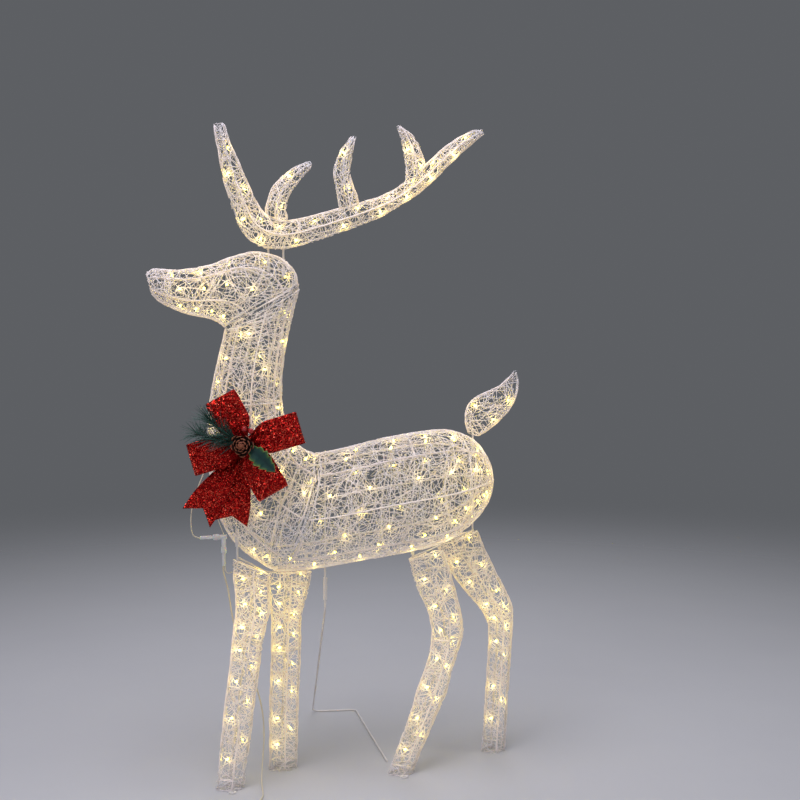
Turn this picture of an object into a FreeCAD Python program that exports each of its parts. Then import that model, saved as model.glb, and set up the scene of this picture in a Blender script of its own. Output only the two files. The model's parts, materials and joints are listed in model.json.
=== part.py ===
import FreeCAD, Part
import math
import os
from FreeCAD import Vector

# Standing reindeer yard light, about 1.32 m tall. Millimetres, +Z up.
# The nose points to -X and the left side of the deer faces -Y.
# The deer is drawn about its middle plane (Y = 0) with its feet on Z = 0,
# and every piece is moved at the end so that the origin is the middle of the
# footprint of everything but the lead.

# ---- driving dimensions -----------------------------------------------------
SKIN = 1.0                 # thickness of the spun thread skin
WIRE_R = 1.6               # frame wire
STRINGER_INSET = 3.6       # centre of a lengthwise wire below the skin's face
HOOP_INSET = 6.95          # centre of a hoop, just inside the lengthwise wires
END_GAP = 4.0              # a lengthwise wire stops this far from a closed end
END_HOOP_GAP = 5.0         # middle of the hoop along a closed end
STEEPEST = 0.45            # sine of the steepest wall that a depth allows for
BULGE = 1.0 / 16.0          # how far a middle section bows out of its span
QUARTER_SPANS = 4          # spans in a quarter of a section of a skin
HOOP_POINTS = 24           # corners in one welded hoop
STRAIGHT_TURN = 0.004      # radians; a smaller turn is drawn straight

ROD_R = 2.0                # prop stand rods and the prongs that plug in
SOCKET_R = 3.6             # outside of a prong socket
SOCKET_BORE = 2.06         # running fit on a prong
SOCKET_LENGTH = 34.0
BESIDE_WIRE = 5.5          # a socket stands this far beside a lengthwise wire

LED_R = 2.2
LED_LENGTH = 4.0
LED_INSET = 10.5           # face of the bulb holder below the skin's face
HOLDER_R = 2.6
HOLDER_LENGTH = 6.0
STRAND_R = 0.7             # light string between two bulbs
STRAND_GAP = 0.4
STRAND_SPREAD = 1.5        # the two strands of a bulb leave it this far apart

EYE_R = 7.5                # ground stake eye on each foot
EYE_BORE = 4.25
EYE_HEIGHT = 3.0

LEAD_R = 1.5
COIL_R = 17.0              # middle of the coil's turns
COIL_BAND = 12.0           # width of the coil's band of turns
COIL_HEIGHT = 12.0
TIE_WIDTH = 5.0            # soft strip round one side of the coil

BOW_AT = Vector(-248, -106, 688)
BOW_TURN = 20.0            # the bow faces this much towards the nose


def unit(v):
    """The same direction with length one."""
    return v * (1.0 / v.Length)


# ---- sections and skins -----------------------------------------------------
class Station:
    """One section: its front or lower end, its other end, half width, side."""

    def __init__(self, x_a, z_a, x_b, z_b, half_width, y=0.0):
        low = Vector(x_a, y, z_a)
        high = Vector(x_b, y, z_b)
        self.centre = (low + high) * 0.5
        self.across = (high - low) * 0.5
        self.side = half_width

    def moved(self, step):
        other = Station(0, 0, 0, 1, self.side)
        other.centre = self.centre + step
        other.across = Vector(self.across)
        return other

    def between(self, other, part):
        mix = Station(0, 0, 0, 1, self.side + (other.side - self.side) * part)
        mix.centre = self.centre + (other.centre - self.centre) * part
        mix.across = self.across + (other.across - self.across) * part
        return mix

    def point(self, angle_deg, inset, power):
        """A point of the section; angle 0 is its higher end, 90 is +Y."""
        c = math.cos(math.radians(angle_deg))
        s = math.sin(math.radians(angle_deg))
        reach = self.across.Length - inset
        a = math.copysign(abs(c) ** (2.0 / power), c) * reach
        b = math.copysign(abs(s) ** (2.0 / power), s) * (self.side - inset)
        return self.centre + unit(self.across) * a + Vector(0, b, 0)


def ring(station, inset, power):
    """Closed smooth curve around one section, in four quarters."""
    along = unit(station.across)
    tangents = [Vector(0, 1, 0), -along, Vector(0, -1, 0), along]
    edges = []
    for k in range(4):
        angles = [90.0 * (k + i / QUARTER_SPANS) for i in range(QUARTER_SPANS + 1)]
        curve = Part.BSplineCurve()
        curve.interpolate(Points=[station.point(a, inset, power) for a in angles],
                          InitialTangent=tangents[k], FinalTangent=tangents[(k + 1) % 4])
        edges.append(curve.toShape())
    return Part.Wire(edges)


def solid_through(stations, inset, power):
    return Part.makeLoft([ring(s, inset, power) for s in stations], True, True)


def refined(stations):
    """The same sections with one more, on a smooth curve, in each span."""
    made = []
    last = len(stations) - 1
    for k in range(last):
        a, b = stations[max(k - 1, 0)], stations[k]
        c, d = stations[k + 1], stations[min(k + 2, last)]
        middle = b.between(c, 0.5)
        middle.centre += (b.centre + c.centre - a.centre - d.centre) * BULGE
        middle.across += (b.across + c.across - a.across - d.across) * BULGE
        middle.side += (b.side + c.side - a.side - d.side) * BULGE
        made += [b, middle]
    return made + [stations[last]]


def inner_stations(stations):
    """The same sections with both ends moved in by one skin thickness."""
    first = unit(stations[1].centre - stations[0].centre) * SKIN * 1.3
    last = unit(stations[-2].centre - stations[-1].centre) * SKIN * 1.3
    return [stations[0].moved(first)] + stations[1:-1] + [stations[-1].moved(last)]


def skin(stations, power):
    """Hollow closed skin of even thickness."""
    outer = solid_through(stations, 0.0, power)
    return outer.cut(solid_through(inner_stations(stations), SKIN, power))


# ---- wires ------------------------------------------------------------------
def closed_wire(points, radius):
    """Round wire along a closed run of corners, mitred at each."""
    start = (points[0] + points[1]) * 0.5
    path = Part.makePolygon([start] + points[1:] + [points[0], start])
    profile = Part.Wire([Part.makeCircle(radius, start, points[1] - points[0])])
    return path.makePipeShell([profile], True, False, 1)


def turn_at(before, corner, after):
    return math.pi - (before - corner).getAngle(after - corner)


def without_straight_corners(points):
    kept = [points[0]]
    for corner, after in zip(points[1:], points[2:]):
        if turn_at(kept[-1], corner, after) > STRAIGHT_TURN:
            kept.append(corner)
    return kept + [points[-1]]


def bent_wire(points, radius, bend=None, report=None):
    """Round wire along straight runs joined by tangent arcs.

    Each arc is as large as its runs allow, or has the bend radius given.
    """
    points = without_straight_corners(points)
    edges = []
    radii = []
    here = points[0]
    for before, corner, after in zip(points, points[1:], points[2:]):
        back = before - corner
        ahead = after - corner
        half_turn = turn_at(before, corner, after) / 2.0
        cut = 0.45 * min(back.Length, ahead.Length)
        if bend:
            cut = min(cut, bend * math.tan(half_turn))
        radii.append(cut / math.tan(half_turn))
        a = corner + unit(back) * cut
        b = corner + unit(ahead) * cut
        middle = unit(unit(back) + unit(ahead))
        rise = radii[-1] / math.cos(half_turn) - radii[-1]
        edges.append(Part.LineSegment(here, a).toShape())
        edges.append(Part.Arc(a, corner + middle * rise, b).toShape())
        here = b
    edges.append(Part.LineSegment(here, points[-1]).toShape())
    path = Part.Wire(edges)
    profile = Part.Wire([Part.makeCircle(radius, points[0], points[1] - points[0])])
    tube = path.makePipeShell([profile], True, True)
    if report:
        expected = math.pi * radius ** 2 * path.Length
        print(report, "length", round(path.Length), "radii", [round(r) for r in radii],
              "volume ratio", round(tube.Volume / expected, 4))
    return tube


def cylinder(start, end, radius):
    return Part.makeCylinder(radius, (end - start).Length, start, end - start)


def tube_piece(start, end, radius, bore):
    return cylinder(start, end, radius).cut(cylinder(start, end, bore))


def cone_piece(start, end, r_start, r_end):
    return Part.makeCone(r_start, r_end, (end - start).Length, start, end - start)


def section_at(stations, place):
    k = min(int(place), len(stations) - 2)
    return stations[k].between(stations[k + 1], place - k)


def under_skin(stations, place, angle, inset, power):
    """Point at a true depth below the skin, however the wall slants."""
    here = section_at(stations, place)
    rim = here.point(angle, 0.0, power)
    before = section_at(stations, max(place - 0.5, 0.0)).point(angle, 0.0, power)
    after = section_at(stations, min(place + 0.5, len(stations) - 1)).point(angle, 0.0, power)
    slant = math.sin((here.centre - rim).getAngle(after - before))
    return here.point(angle, inset / max(slant, STEEPEST), power)


def wire_end(stations, angle, power, backwards):
    """The place nearest to one end that keeps a wire off the closed end."""
    last = len(stations) - 1
    end = stations[last if backwards else 0]
    normal = unit(end.across.cross(Vector(0, 1, 0)))
    step = 0.0
    gap = 0.0
    while gap < END_GAP:
        step += 0.05
        place = last - step if backwards else step
        point = under_skin(stations, place, angle, STRINGER_INSET, power)
        gap = abs((point - end.centre).dot(normal))
    return place


def stringers(stations, angles, power):
    """Lengthwise wires just under the skin."""
    wires = []
    for a in angles:
        first = wire_end(stations, a, power, False)
        last = wire_end(stations, a, power, True)
        middle = [k for k in range(len(stations)) if first + 0.2 < k < last - 0.2]
        places = [first] + middle + [last]
        wires.append(bent_wire([under_skin(stations, p, a, STRINGER_INSET, power)
                                for p in places], WIRE_R))
    return wires


HOOP_ANGLES = [360.0 / HOOP_POINTS * (k + 0.5) for k in range(HOOP_POINTS)]


def hoop(stations, place, power, inset=HOOP_INSET):
    """Welded hoop inside the lengthwise wires."""
    corners = [under_skin(stations, place, a, inset, power) for a in HOOP_ANGLES]
    return closed_wire(corners, WIRE_R)


def end_hoop(stations, power):
    """Welded hoop that lies along the first closed end."""
    inward = unit(stations[0].across.cross(Vector(0, 1, 0)))
    if inward.dot(stations[1].centre - stations[0].centre) < 0:
        inward = -inward
    beside = stations[0].moved(inward * END_HOOP_GAP)
    return closed_wire([beside.point(a, HOOP_INSET, power) for a in HOOP_ANGLES], WIRE_R)


# ---- light strings ----------------------------------------------------------
def lens_shape():
    """Bullet lens standing on the origin along +Z."""
    shoulder = Vector(LED_R, 0, LED_LENGTH)
    tip = Vector(0, 0, LED_LENGTH + LED_R)
    middle = Vector(LED_R * math.sin(math.pi / 4), 0, LED_LENGTH + LED_R * math.cos(math.pi / 4))
    outline = Part.Wire([
        Part.LineSegment(Vector(0, 0, 0), Vector(LED_R, 0, 0)).toShape(),
        Part.LineSegment(Vector(LED_R, 0, 0), shoulder).toShape(),
        Part.Arc(shoulder, middle, tip).toShape(),
        Part.LineSegment(tip, Vector(0, 0, 0)).toShape(),
    ])
    return Part.Face(outline).revolve(Vector(0, 0, 0), Vector(0, 0, 1), 360)


LENS = lens_shape()


class Bulb:
    def __init__(self, stations, place, angle, power, inset, along):
        station = section_at(stations, place)
        self.out = unit(station.point(angle, 0.0, power) - station.centre)
        self.face = under_skin(stations, place, angle, inset, power)
        self.root = self.face - self.out * HOLDER_LENGTH
        self.along = along

    def lens(self):
        placed = LENS.copy()
        placed.Placement = FreeCAD.Placement(self.face, FreeCAD.Rotation(Vector(0, 0, 1), self.out))
        return placed

    def holder(self):
        return cylinder(self.root, self.face, HOLDER_R)

    def tail(self, sign):
        return self.root - self.out * STRAND_GAP + self.along * (sign * STRAND_SPREAD)


def bulbs_along(stations, places, power, inset=LED_INSET):
    """Bulbs at (place along the section list, angle) pairs."""
    found = []
    for place, angle in places:
        k = min(int(place), len(stations) - 2)
        along = unit(stations[k + 1].centre - stations[k].centre)
        found.append(Bulb(stations, place, angle, power, inset, along))
    return found


def spiral(first, last, count, start_angle, step_angle):
    """Bulb places wound along a section, kept away from its hoops."""
    places = []
    for k in range(count):
        place = first + (last - first) * k / max(count - 1, 1)
        place = int(place) + 0.3 + 0.4 * (place - int(place))
        places.append((place, start_angle + step_angle * k))
    return places


def light_string(bulbs):
    """Bulb holders with a straight strand from each to the next."""
    pieces = [b.holder() for b in bulbs]
    for one, two in zip(bulbs, bulbs[1:]):
        pieces.append(cylinder(one.tail(1), two.tail(-1), STRAND_R))
    return pieces


# ---- the pieces -------------------------------------------------------------
NODES = {}


def keep(name, pieces):
    NODES[name] = pieces if isinstance(pieces, list) else [pieces]


ROUND = 2.0
DIAMOND = 1.55
EIGHT = [45 * k for k in range(8)]
SIX = [60 * k for k in range(6)]
FOUR = [90 * k for k in range(4)]

TORSO = refined([
    Station(-174, 421, -89, 655, 115),
    Station(-120, 421, -45, 661, 118),
    Station(-60, 427, 0, 671, 119),
    Station(0, 435, 50, 682, 120),
    Station(60, 442, 100, 690, 120),
    Station(115, 450, 140, 695, 118),
    Station(165, 461, 180, 697, 112),
    Station(205, 480, 213, 690, 100),
    Station(238, 505, 240, 676, 82),
    Station(262, 532, 262, 652, 60),
    Station(276, 562, 275, 625, 35),
    Station(281, 580, 281, 604, 13),
])
NECK = refined([
    Station(-176, 421.7, -91, 655.7, 115),
    Station(-218, 449, -100, 659, 112),
    Station(-256, 484, -110, 663, 106),
    Station(-283, 530, -121, 670, 98),
    Station(-298, 585, -132, 680, 89),
    Station(-305, 645, -143, 697, 79),
    Station(-306, 700, -152, 722, 70),
    Station(-302, 755, -158, 762, 63),
    Station(-293, 808, -157, 815, 58),
    Station(-282, 855, -150, 868, 55),
    Station(-272, 895, -137, 925, 54),
    Station(-270, 905, -122, 983, 54),
])
HEAD = refined([
    Station(-271, 906.8, -123, 984.8, 54),
    Station(-277, 914, -127, 1012, 55),
    Station(-287, 920, -146, 1037, 56),
    Station(-300, 925, -180, 1053, 56),
    Station(-313, 928, -222, 1056, 53),
    Station(-328, 931, -262, 1044, 47),
    Station(-345, 935, -300, 1030, 40),
    Station(-364, 942, -340, 1022, 34),
    Station(-384, 951, -378, 1020, 29),
    Station(-402, 962, -408, 1022, 23),
    Station(-413, 976, -422, 1012, 13),
])
ANTLER_BEAM = refined([
    Station(-289, 1303, -268, 1306, 9),
    Station(-285, 1270, -257, 1268, 12),
    Station(-274, 1213, -240, 1232, 15),
    Station(-261, 1162, -224, 1195, 17),
    Station(-246, 1116, -204, 1152, 18),
    Station(-230, 1088, -190, 1132, 20),
    Station(-202, 1066, -172, 1124, 21),
    Station(-165, 1060, -150, 1119, 22),
    Station(-120, 1068, -127, 1121, 21),
    Station(-67, 1085, -80, 1133, 20),
    Station(-20, 1102, -32, 1147, 20),
    Station(20, 1117, 6, 1158, 19),
    Station(55, 1134, 40, 1169, 18),
    Station(83, 1150, 66, 1180, 18),
    Station(112, 1168, 92, 1198, 17),
    Station(137, 1188, 119, 1217, 17),
    Station(160, 1208, 143, 1240, 16),
    Station(190, 1237, 172, 1266, 15),
    Station(224, 1268, 210, 1293, 12),
    Station(250, 1289, 242, 1308, 9),
    Station(264, 1299, 260, 1309, 5),
])
ANTLER_TINES = [
    refined([
        Station(-184, 1112, -140, 1108, 17),
        Station(-188, 1140, -146, 1138, 16),
        Station(-181, 1168, -142, 1162, 16),
        Station(-167, 1192, -130, 1182, 15),
        Station(-146, 1213, -116, 1199, 13),
        Station(-122, 1229, -103, 1214, 9),
        Station(-98, 1236, -93, 1226, 4),
    ]),
    refined([
        Station(-38, 1132, 4, 1140, 17),
        Station(-46, 1175, -5, 1175, 16),
        Station(-52, 1207, -17, 1207, 15),
        Station(-48, 1234, -16, 1234, 13),
        Station(-37, 1260, -12, 1255, 10),
        Station(-20, 1281, -7, 1275, 6),
        Station(-10, 1289, -4, 1285, 3.5),
    ]),
    refined([
        Station(98, 1182, 138, 1210, 15),
        Station(97, 1215, 138, 1234, 14),
        Station(95, 1240, 134, 1250, 13),
        Station(90, 1268, 124, 1274, 11),
        Station(84, 1293, 107, 1298, 7),
        Station(77, 1309, 84, 1313, 3.5),
    ]),
]
TAIL = refined([
    Station(232, 687, 254, 681, 7),
    Station(224, 712, 282, 698, 13),
    Station(226, 738, 310, 722, 16),
    Station(238, 756, 326, 742, 15),
    Station(262, 770, 337, 764, 13),
    Station(292, 782, 341, 784, 10),
    Station(314, 799, 341, 801, 7),
    Station(329, 815, 336, 816, 3.5),
])


def leg(rows, y_top, y_foot, half_top, half_foot):
    """Leg sections: rows hold the front and back edge of each height."""
    made = []
    height = (rows[0][1] + rows[0][3]) / 2.0
    for x_a, z_a, x_b, z_b in rows:
        part = 1.0 - (z_a + z_b) / 2.0 / height
        spread = min(part * 1.6, 1.0)
        y = y_top + (y_foot - y_top) * spread
        half = half_top + (half_foot - half_top) * spread
        made.append(Station(x_a, z_a, x_b, z_b, half, y))
    return refined(made)


LEG_Y_TOP = 30
LEG_Y_FOOT = 44
LEG_HALF_TOP = 27
LEG_HALF_FOOT = 21
FRONT_LEFT_ROWS = [
    (-262, 453, -188, 419), (-263, 430, -189, 400), (-260, 395, -190, 375),
    (-258, 360, -190, 345), (-262, 328, -197, 322), (-267, 290, -204, 288),
    (-271, 250, -211, 247), (-277, 208, -217, 204), (-284, 160, -225, 155),
    (-290, 105, -231, 101), (-296, 50, -239, 48), (-302, 0, -245, 0),
]
FRONT_RIGHT_ROWS = [
    (-183, 414, -93, 410), (-183, 390, -96, 386), (-181, 360, -102, 358),
    (-177, 325, -112, 325), (-176, 290, -114, 290), (-176, 250, -114, 250),
    (-177, 200, -116, 200), (-179, 147, -118, 147), (-180, 90, -120, 90),
    (-180, 45, -121, 45), (-181, 0, -122, 0),
]
REAR_LEFT_ROWS = [
    (96, 437, 168, 453), (104, 402, 180, 420), (118, 364, 192, 378),
    (133, 332, 202, 337), (141, 300, 209, 302), (141, 270, 208, 272),
    (136, 238, 197, 240), (123, 203, 185, 202), (108, 166, 172, 158),
    (96, 125, 154, 120), (80, 84, 136, 80), (64, 42, 118, 41), (48, 0, 102, 0),
]
REAR_RIGHT_ROWS = [
    (172, 454, 262, 480), (188, 420, 280, 438), (213, 382, 303, 394),
    (243, 344, 325, 353), (270, 312, 341, 320), (286, 286, 345, 291),
    (291, 255, 344, 256), (289, 190, 341, 190), (285, 120, 337, 118),
    (281, 60, 334, 60), (277, 0, 331, 0),
]
SHAPE = (LEG_HALF_TOP, LEG_HALF_FOOT)
LEGS = {
    "front_left": leg(FRONT_LEFT_ROWS, -LEG_Y_TOP, -LEG_Y_FOOT, *SHAPE),
    "front_right": leg(FRONT_RIGHT_ROWS, LEG_Y_TOP, LEG_Y_FOOT, *SHAPE),
    "rear_left": leg(REAR_LEFT_ROWS, -LEG_Y_TOP, -LEG_Y_FOOT, *SHAPE),
    "rear_right": leg(REAR_RIGHT_ROWS, LEG_Y_TOP, LEG_Y_FOOT, *SHAPE),
}

# Where prongs plug in: x, y, height of the skin there, and which way is in.
LEG_PRONGS = {
    "front": [(-254, -32, 482), (-104, 30, 422)],
    "rear": [(104, -30, 449), (252, 32, 522)],
}
LEG_PRONG_FOOT = {
    "front": [438, 398],
    "rear": [424, 456],
}
# The top bar of each leg pair runs above the legs from prong to prong.
YOKES = {
    "front": [(-251.6, -31, 457), (-190, -2, 419.5), (-106.2, 29, 413.5)],
    "rear": [(106.2, -29, 441.5), (168, -1, 456.6), (249.8, 31, 480.5)],
}
ANTLER_PRONGS = [(-182, 1052), (-152, 1042)]
TAIL_PRONG = (243, 671)
ROD_AT = (-70, BESIDE_WIRE)
ROD_TOP = 646.0
SLEEVE_TOP = 401.0
SLEEVE_BOTTOM = 356.0
SLEEVE_R = 4.0
STAND_STOP = 378.0         # where the two rods meet inside the sleeve


TORSO_FIRST_BULB = 0.7
# Places of the hoops along each list of sections.
TORSO_HOOPS = [0.36, 8, 14, 18]
NECK_HOOPS = [8, 14, 20.7]
HEAD_HOOPS = [1, 9.75, 16]


def holes(shape, cutters):
    for cutter in cutters:
        shape = shape.cut(cutter)
    return shape


def upright(x, y, z_low, z_high, radius):
    return cylinder(Vector(x, y, z_low), Vector(x, y, z_high), radius)


def build_torso():
    cuts = [upright(x, y, z - 30, z + 30, SOCKET_R + 0.3)
            for x, y, z in [LEG_PRONGS["front"][1]] + LEG_PRONGS["rear"]]
    cuts.append(upright(*ROD_AT, 380, 470, ROD_R + 0.3))
    cuts.append(upright(TAIL_PRONG[0], BESIDE_WIRE, 655, 695, SOCKET_R + 0.3))
    keep("torso_skin", holes(skin(TORSO, ROUND), cuts))
    rings = [hoop(TORSO, place, ROUND) for place in TORSO_HOOPS]
    keep("torso_frame", stringers(TORSO, EIGHT, ROUND) + rings)
    bulbs = bulbs_along(TORSO, spiral(TORSO_FIRST_BULB, 19.4, 46, 22.5, 135), ROUND)
    keep("torso_bulbs", [b.lens() for b in bulbs])
    keep("torso_light_string", light_string(bulbs))


def build_neck():
    x, y, z = LEG_PRONGS["front"][0]
    keep("neck_skin", holes(skin(NECK, ROUND), [upright(x, y, z - 30, z + 30, SOCKET_R + 0.3)]))
    rings = [hoop(NECK, place, ROUND) for place in NECK_HOOPS]
    keep("neck_frame", stringers(NECK, EIGHT, ROUND) + [end_hoop(NECK, ROUND)] + rings)
    bulbs = bulbs_along(NECK, spiral(0.9, 20.4, 32, 157.5, 135), ROUND)
    return bulbs


def build_head(neck_bulbs):
    cuts = [upright(x, BESIDE_WIRE, z - 20, z + 20, SOCKET_R + 0.3) for x, z in ANTLER_PRONGS]
    keep("head_skin", holes(skin(HEAD, ROUND), cuts))
    wires = stringers(HEAD, SIX, ROUND)
    keep("head_frame", wires + [hoop(HEAD, place, ROUND) for place in HEAD_HOOPS])
    bulbs = bulbs_along(HEAD, spiral(2.6, 15.6, 13, 30, 120), ROUND)
    keep("neck_and_head_bulbs", [b.lens() for b in neck_bulbs + bulbs])
    keep("neck_and_head_light_string", light_string(neck_bulbs) + light_string(bulbs))


def build_sockets():
    """Tubes welded into the frame that the plug-in prongs slide in."""
    spans = [(x, BESIDE_WIRE, z - SOCKET_LENGTH, z + 1) for x, z in ANTLER_PRONGS]
    spans.append((TAIL_PRONG[0], BESIDE_WIRE, TAIL_PRONG[1] - 28, TAIL_PRONG[1] + 4))
    for pair in ("front", "rear"):
        spans += [(x, y, z - 3, z - 3 + SOCKET_LENGTH) for x, y, z in LEG_PRONGS[pair]]
    tubes = []
    for x, y, low, high in spans:
        tubes.append(tube_piece(Vector(x, y, low), Vector(x, y, high), SOCKET_R, SOCKET_BORE))
    keep("prong_sockets", tubes)


def build_antler():
    outer = solid_through(ANTLER_BEAM, 0.0, DIAMOND)
    cuts = [upright(x, BESIDE_WIRE, 1045, 1080, ROD_R + 0.3) for x, _ in ANTLER_PRONGS]
    skins = [holes(skin(ANTLER_BEAM, DIAMOND), cuts)]
    wires = stringers(ANTLER_BEAM, FOUR, DIAMOND)
    bulbs = bulbs_along(ANTLER_BEAM, spiral(2.4, 36.8, 19, 45, 180), DIAMOND, 8.4)
    groups = [bulbs]
    for tine in ANTLER_TINES:
        skins.append(skin(tine, DIAMOND).cut(outer))
        wires += [w.cut(outer) for w in stringers(tine, FOUR, DIAMOND)]
        groups.append(bulbs_along(tine, spiral(2.8, len(tine) - 5.2, 2, 45, 180), DIAMOND, 8.3))
    keep("antler_skin", skins)
    keep("antler_frame", wires)
    keep("antler_bulbs", [b.lens() for group in groups for b in group])
    keep("antler_light_string", [p for group in groups for p in light_string(group)])
    prongs = []
    for x, z in ANTLER_PRONGS:
        prongs.append(upright(x, BESIDE_WIRE, z - SOCKET_LENGTH + 4, 1074, ROD_R))
    keep("antler_prongs", prongs)


def build_tail():
    x, z = TAIL_PRONG
    cut = upright(x, BESIDE_WIRE, z, 705, ROD_R + 0.3)
    keep("tail_skin", holes(skin(TAIL, DIAMOND), [cut]))
    keep("tail_frame", stringers(TAIL, [0, 180], DIAMOND))
    bulbs = bulbs_along(TAIL, [(3.2, 30), (5.0, 210), (7.0, 30)], DIAMOND, 11.0)
    keep("tail_bulbs", [b.lens() for b in bulbs])
    keep("tail_light_string", light_string(bulbs))
    keep("tail_prong", upright(x, BESIDE_WIRE, z - 24, 697, ROD_R))


def build_leg_pair(pair):
    """Two legs that share one top bar and plug into the belly together."""
    frames = []
    lenses = []
    strings = []
    eyes = []
    for side in ("left", "right"):
        stations = LEGS[pair + "_" + side]
        sign = -1 if side == "left" else 1
        index = 0 if side == "left" else 1
        x, y, z = LEG_PRONGS[pair][index]
        foot = LEG_PRONG_FOOT[pair][index]
        cut = upright(x, y, foot, z, ROD_R + 0.3)
        keep(pair + "_leg_" + side + "_skin", holes(skin(stations, DIAMOND), [cut]))
        frames += stringers(stations, FOUR, DIAMOND)
        frames += [hoop(stations, p, DIAMOND) for p in (2, 10, len(stations) - 2)]
        frames.append(upright(x, y, foot, z + SOCKET_LENGTH - 6, ROD_R))
        count = 14
        places = spiral(0.9, len(stations) - 3.4, count, 45, 180)
        bulbs = bulbs_along(stations, places, DIAMOND)
        lenses += [b.lens() for b in bulbs]
        strings += light_string(bulbs)
        base = stations[-1].centre
        eye = Vector(base.x, base.y + sign * (LEG_HALF_FOOT + EYE_R + 0.5), 0)
        ring_piece = Part.makeCylinder(EYE_R, EYE_HEIGHT, eye)
        eyes.append(ring_piece.cut(Part.makeCylinder(EYE_BORE, EYE_HEIGHT, eye)))
    frames.append(bent_wire([Vector(*p) for p in YOKES[pair]], WIRE_R, bend=60))
    keep(pair + "_legs_frame", frames)
    keep(pair + "_legs_bulbs", lenses)
    keep(pair + "_legs_light_string", strings)
    keep(pair + "_stake_eyes", eyes)


STAND_BEND = 14.0
STAND_CORNERS = [(-13, 425), (88, 412), (76, 214), (66, 30)]


def build_stand():
    """Prop rod through the body, its joining sleeve and the floor wire."""
    x, y = ROD_AT
    keep("stand_rod", upright(x, y, STAND_STOP, ROD_TOP, ROD_R))
    sleeve = upright(x, y, SLEEVE_BOTTOM, SLEEVE_TOP, SLEEVE_R)
    sleeve = sleeve.cut(upright(x, y, STAND_STOP, SLEEVE_TOP, ROD_R))
    sleeve = sleeve.cut(upright(x, y, SLEEVE_BOTTOM, STAND_STOP, SOCKET_BORE))
    keep("stand_sleeve", sleeve)
    floor = [Vector(px, py, ROD_R) for px, py in STAND_CORNERS]
    points = [Vector(x, y, STAND_STOP - 0.5), Vector(x, y, 338)] + floor
    keep("stand_base", bent_wire(points, ROD_R, bend=STAND_BEND))


def build_electrics():
    tee = Vector(-276, 0, 494)
    down = Vector(0, 0, -1)
    front = Vector(-1, 0, 0)
    body = cylinder(tee + front * 9, tee - front * 6, 4.5)
    keep("splitter_tee", body.fuse(cylinder(tee, tee + down * 20, 4.5)).removeSplitter())
    for name, way, reach in (("neck", front, 9), ("legs", down, 20)):
        base = tee + way * reach
        inner = 3.2
        keep(name + "_collar", tube_piece(base + way * 0.4, base + way * 12, 5.6, inner + 0.35))
        barrel = cylinder(base, base + way * 16, inner)
        shell = cone_piece(base + way * 16, base + way * 38, 3.6, 3.1)
        keep(name + "_plug", barrel.fuse(shell).removeSplitter())
    neck_route = [
        Vector(-323.1, 0, 494), Vector(-335, 0, 494.8), Vector(-340.5, -2, 512),
        Vector(-341, -6, 538), Vector(-338, -9, 562), Vector(-330, -10, 588),
        Vector(-320, -8, 612), Vector(-310, -4, 634),
    ]
    keep("neck_jumper", bent_wire(neck_route, 1.2, report="neck_jumper"))
    leg_route = [
        Vector(-274.3, -0.5, 435.6), Vector(-274.2, -1.5, 429), Vector(-271.5, -5, 423),
        Vector(-267, -10, 422), Vector(-263, -15, 426),
    ]
    keep("leg_jumper", bent_wire(leg_route, 1.0, report="leg_jumper"))
    keep("splitter_tie", cylinder(tee + Vector(0, 0, 4.9), tee + Vector(-13, 0, 40), 0.8))


def build_lead():
    keep("lead_cord", bent_wire(LEAD_ROUTE, LEAD_R, report="lead_cord"))
    centre = COIL_AT
    outside = COIL_R + COIL_BAND / 2.0
    coil = Part.makeCylinder(outside, COIL_HEIGHT, centre)
    coil = coil.cut(Part.makeCylinder(COIL_R - COIL_BAND / 2.0, COIL_HEIGHT, centre))
    keep("lead_coil", coil)
    side = centre - Vector(TIE_WIDTH / 2, COIL_R + COIL_BAND / 2, 0)
    tie = Part.makeBox(TIE_WIDTH, COIL_BAND + 3.4, COIL_HEIGHT + 1.5,
                       side - Vector(0, 1.7, 0))
    slot = Part.makeBox(TIE_WIDTH, COIL_BAND + 1.0, COIL_HEIGHT + 0.1,
                        side - Vector(0, 0.5, 0))
    keep("lead_tie", tie.cut(slot))
    start = PLUG_AT
    way = Vector(-1, 0, 0)
    keep("lead_plug", cone_piece(start, start + way * 20, 2.0, 4.0).fuse(
        cylinder(start + way * 20, start + way * 38, 4.0)).removeSplitter())
    keep("lead_collar", tube_piece(start + way * 24, start + way * 36, 5.6, 4.35))


LEAD_ROUTE = [
    Vector(-277.4, 0.3, 435.8), Vector(-277.8, 0.8, 426), Vector(-273, 4, 409),
    Vector(-266, 7, 382), Vector(-262, 7, 346), Vector(-252, 6, 296),
    Vector(-232, 4, 240), Vector(-213, 1, 190), Vector(-201, -4, 140),
    Vector(-199, -10, 92), Vector(-203, -17, 52), Vector(-208, -30, 22),
    Vector(-212, -52, 6), Vector(-215, -84, 1.6), Vector(-219, -113, 1.6),
    Vector(-232, -138, 1.6), Vector(-250.2, -159.0, 1.6),
]
COIL_AT = Vector(-266, -176, 0)
PLUG_AT = Vector(-289.2, -176, 5.8)


# ---- the bow ----------------------------------------------------------------
def bow_frame():
    turn = math.radians(BOW_TURN)
    right = Vector(math.cos(turn), -math.sin(turn), 0)
    out = Vector(-math.sin(turn), -math.cos(turn), 0)
    return right, Vector(0, 0, 1), out


def bow_slab(rows):
    """Soft ribbon shape: rows of (u, v, half width, half thickness, lift, angle)."""
    right, up, out = bow_frame()
    wires = []
    for u, v, half, thick, lift, angle in rows:
        turn = math.radians(angle)
        side = right * -math.sin(turn) + up * math.cos(turn)
        centre = BOW_AT + right * u + up * v + out * lift
        corners = [centre + side * half + out * thick, centre - side * half + out * thick,
                   centre - side * half - out * thick, centre + side * half - out * thick]
        wires.append(Part.makePolygon(corners + [corners[0]]))
    return Part.makeLoft(wires, True, True)


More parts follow.
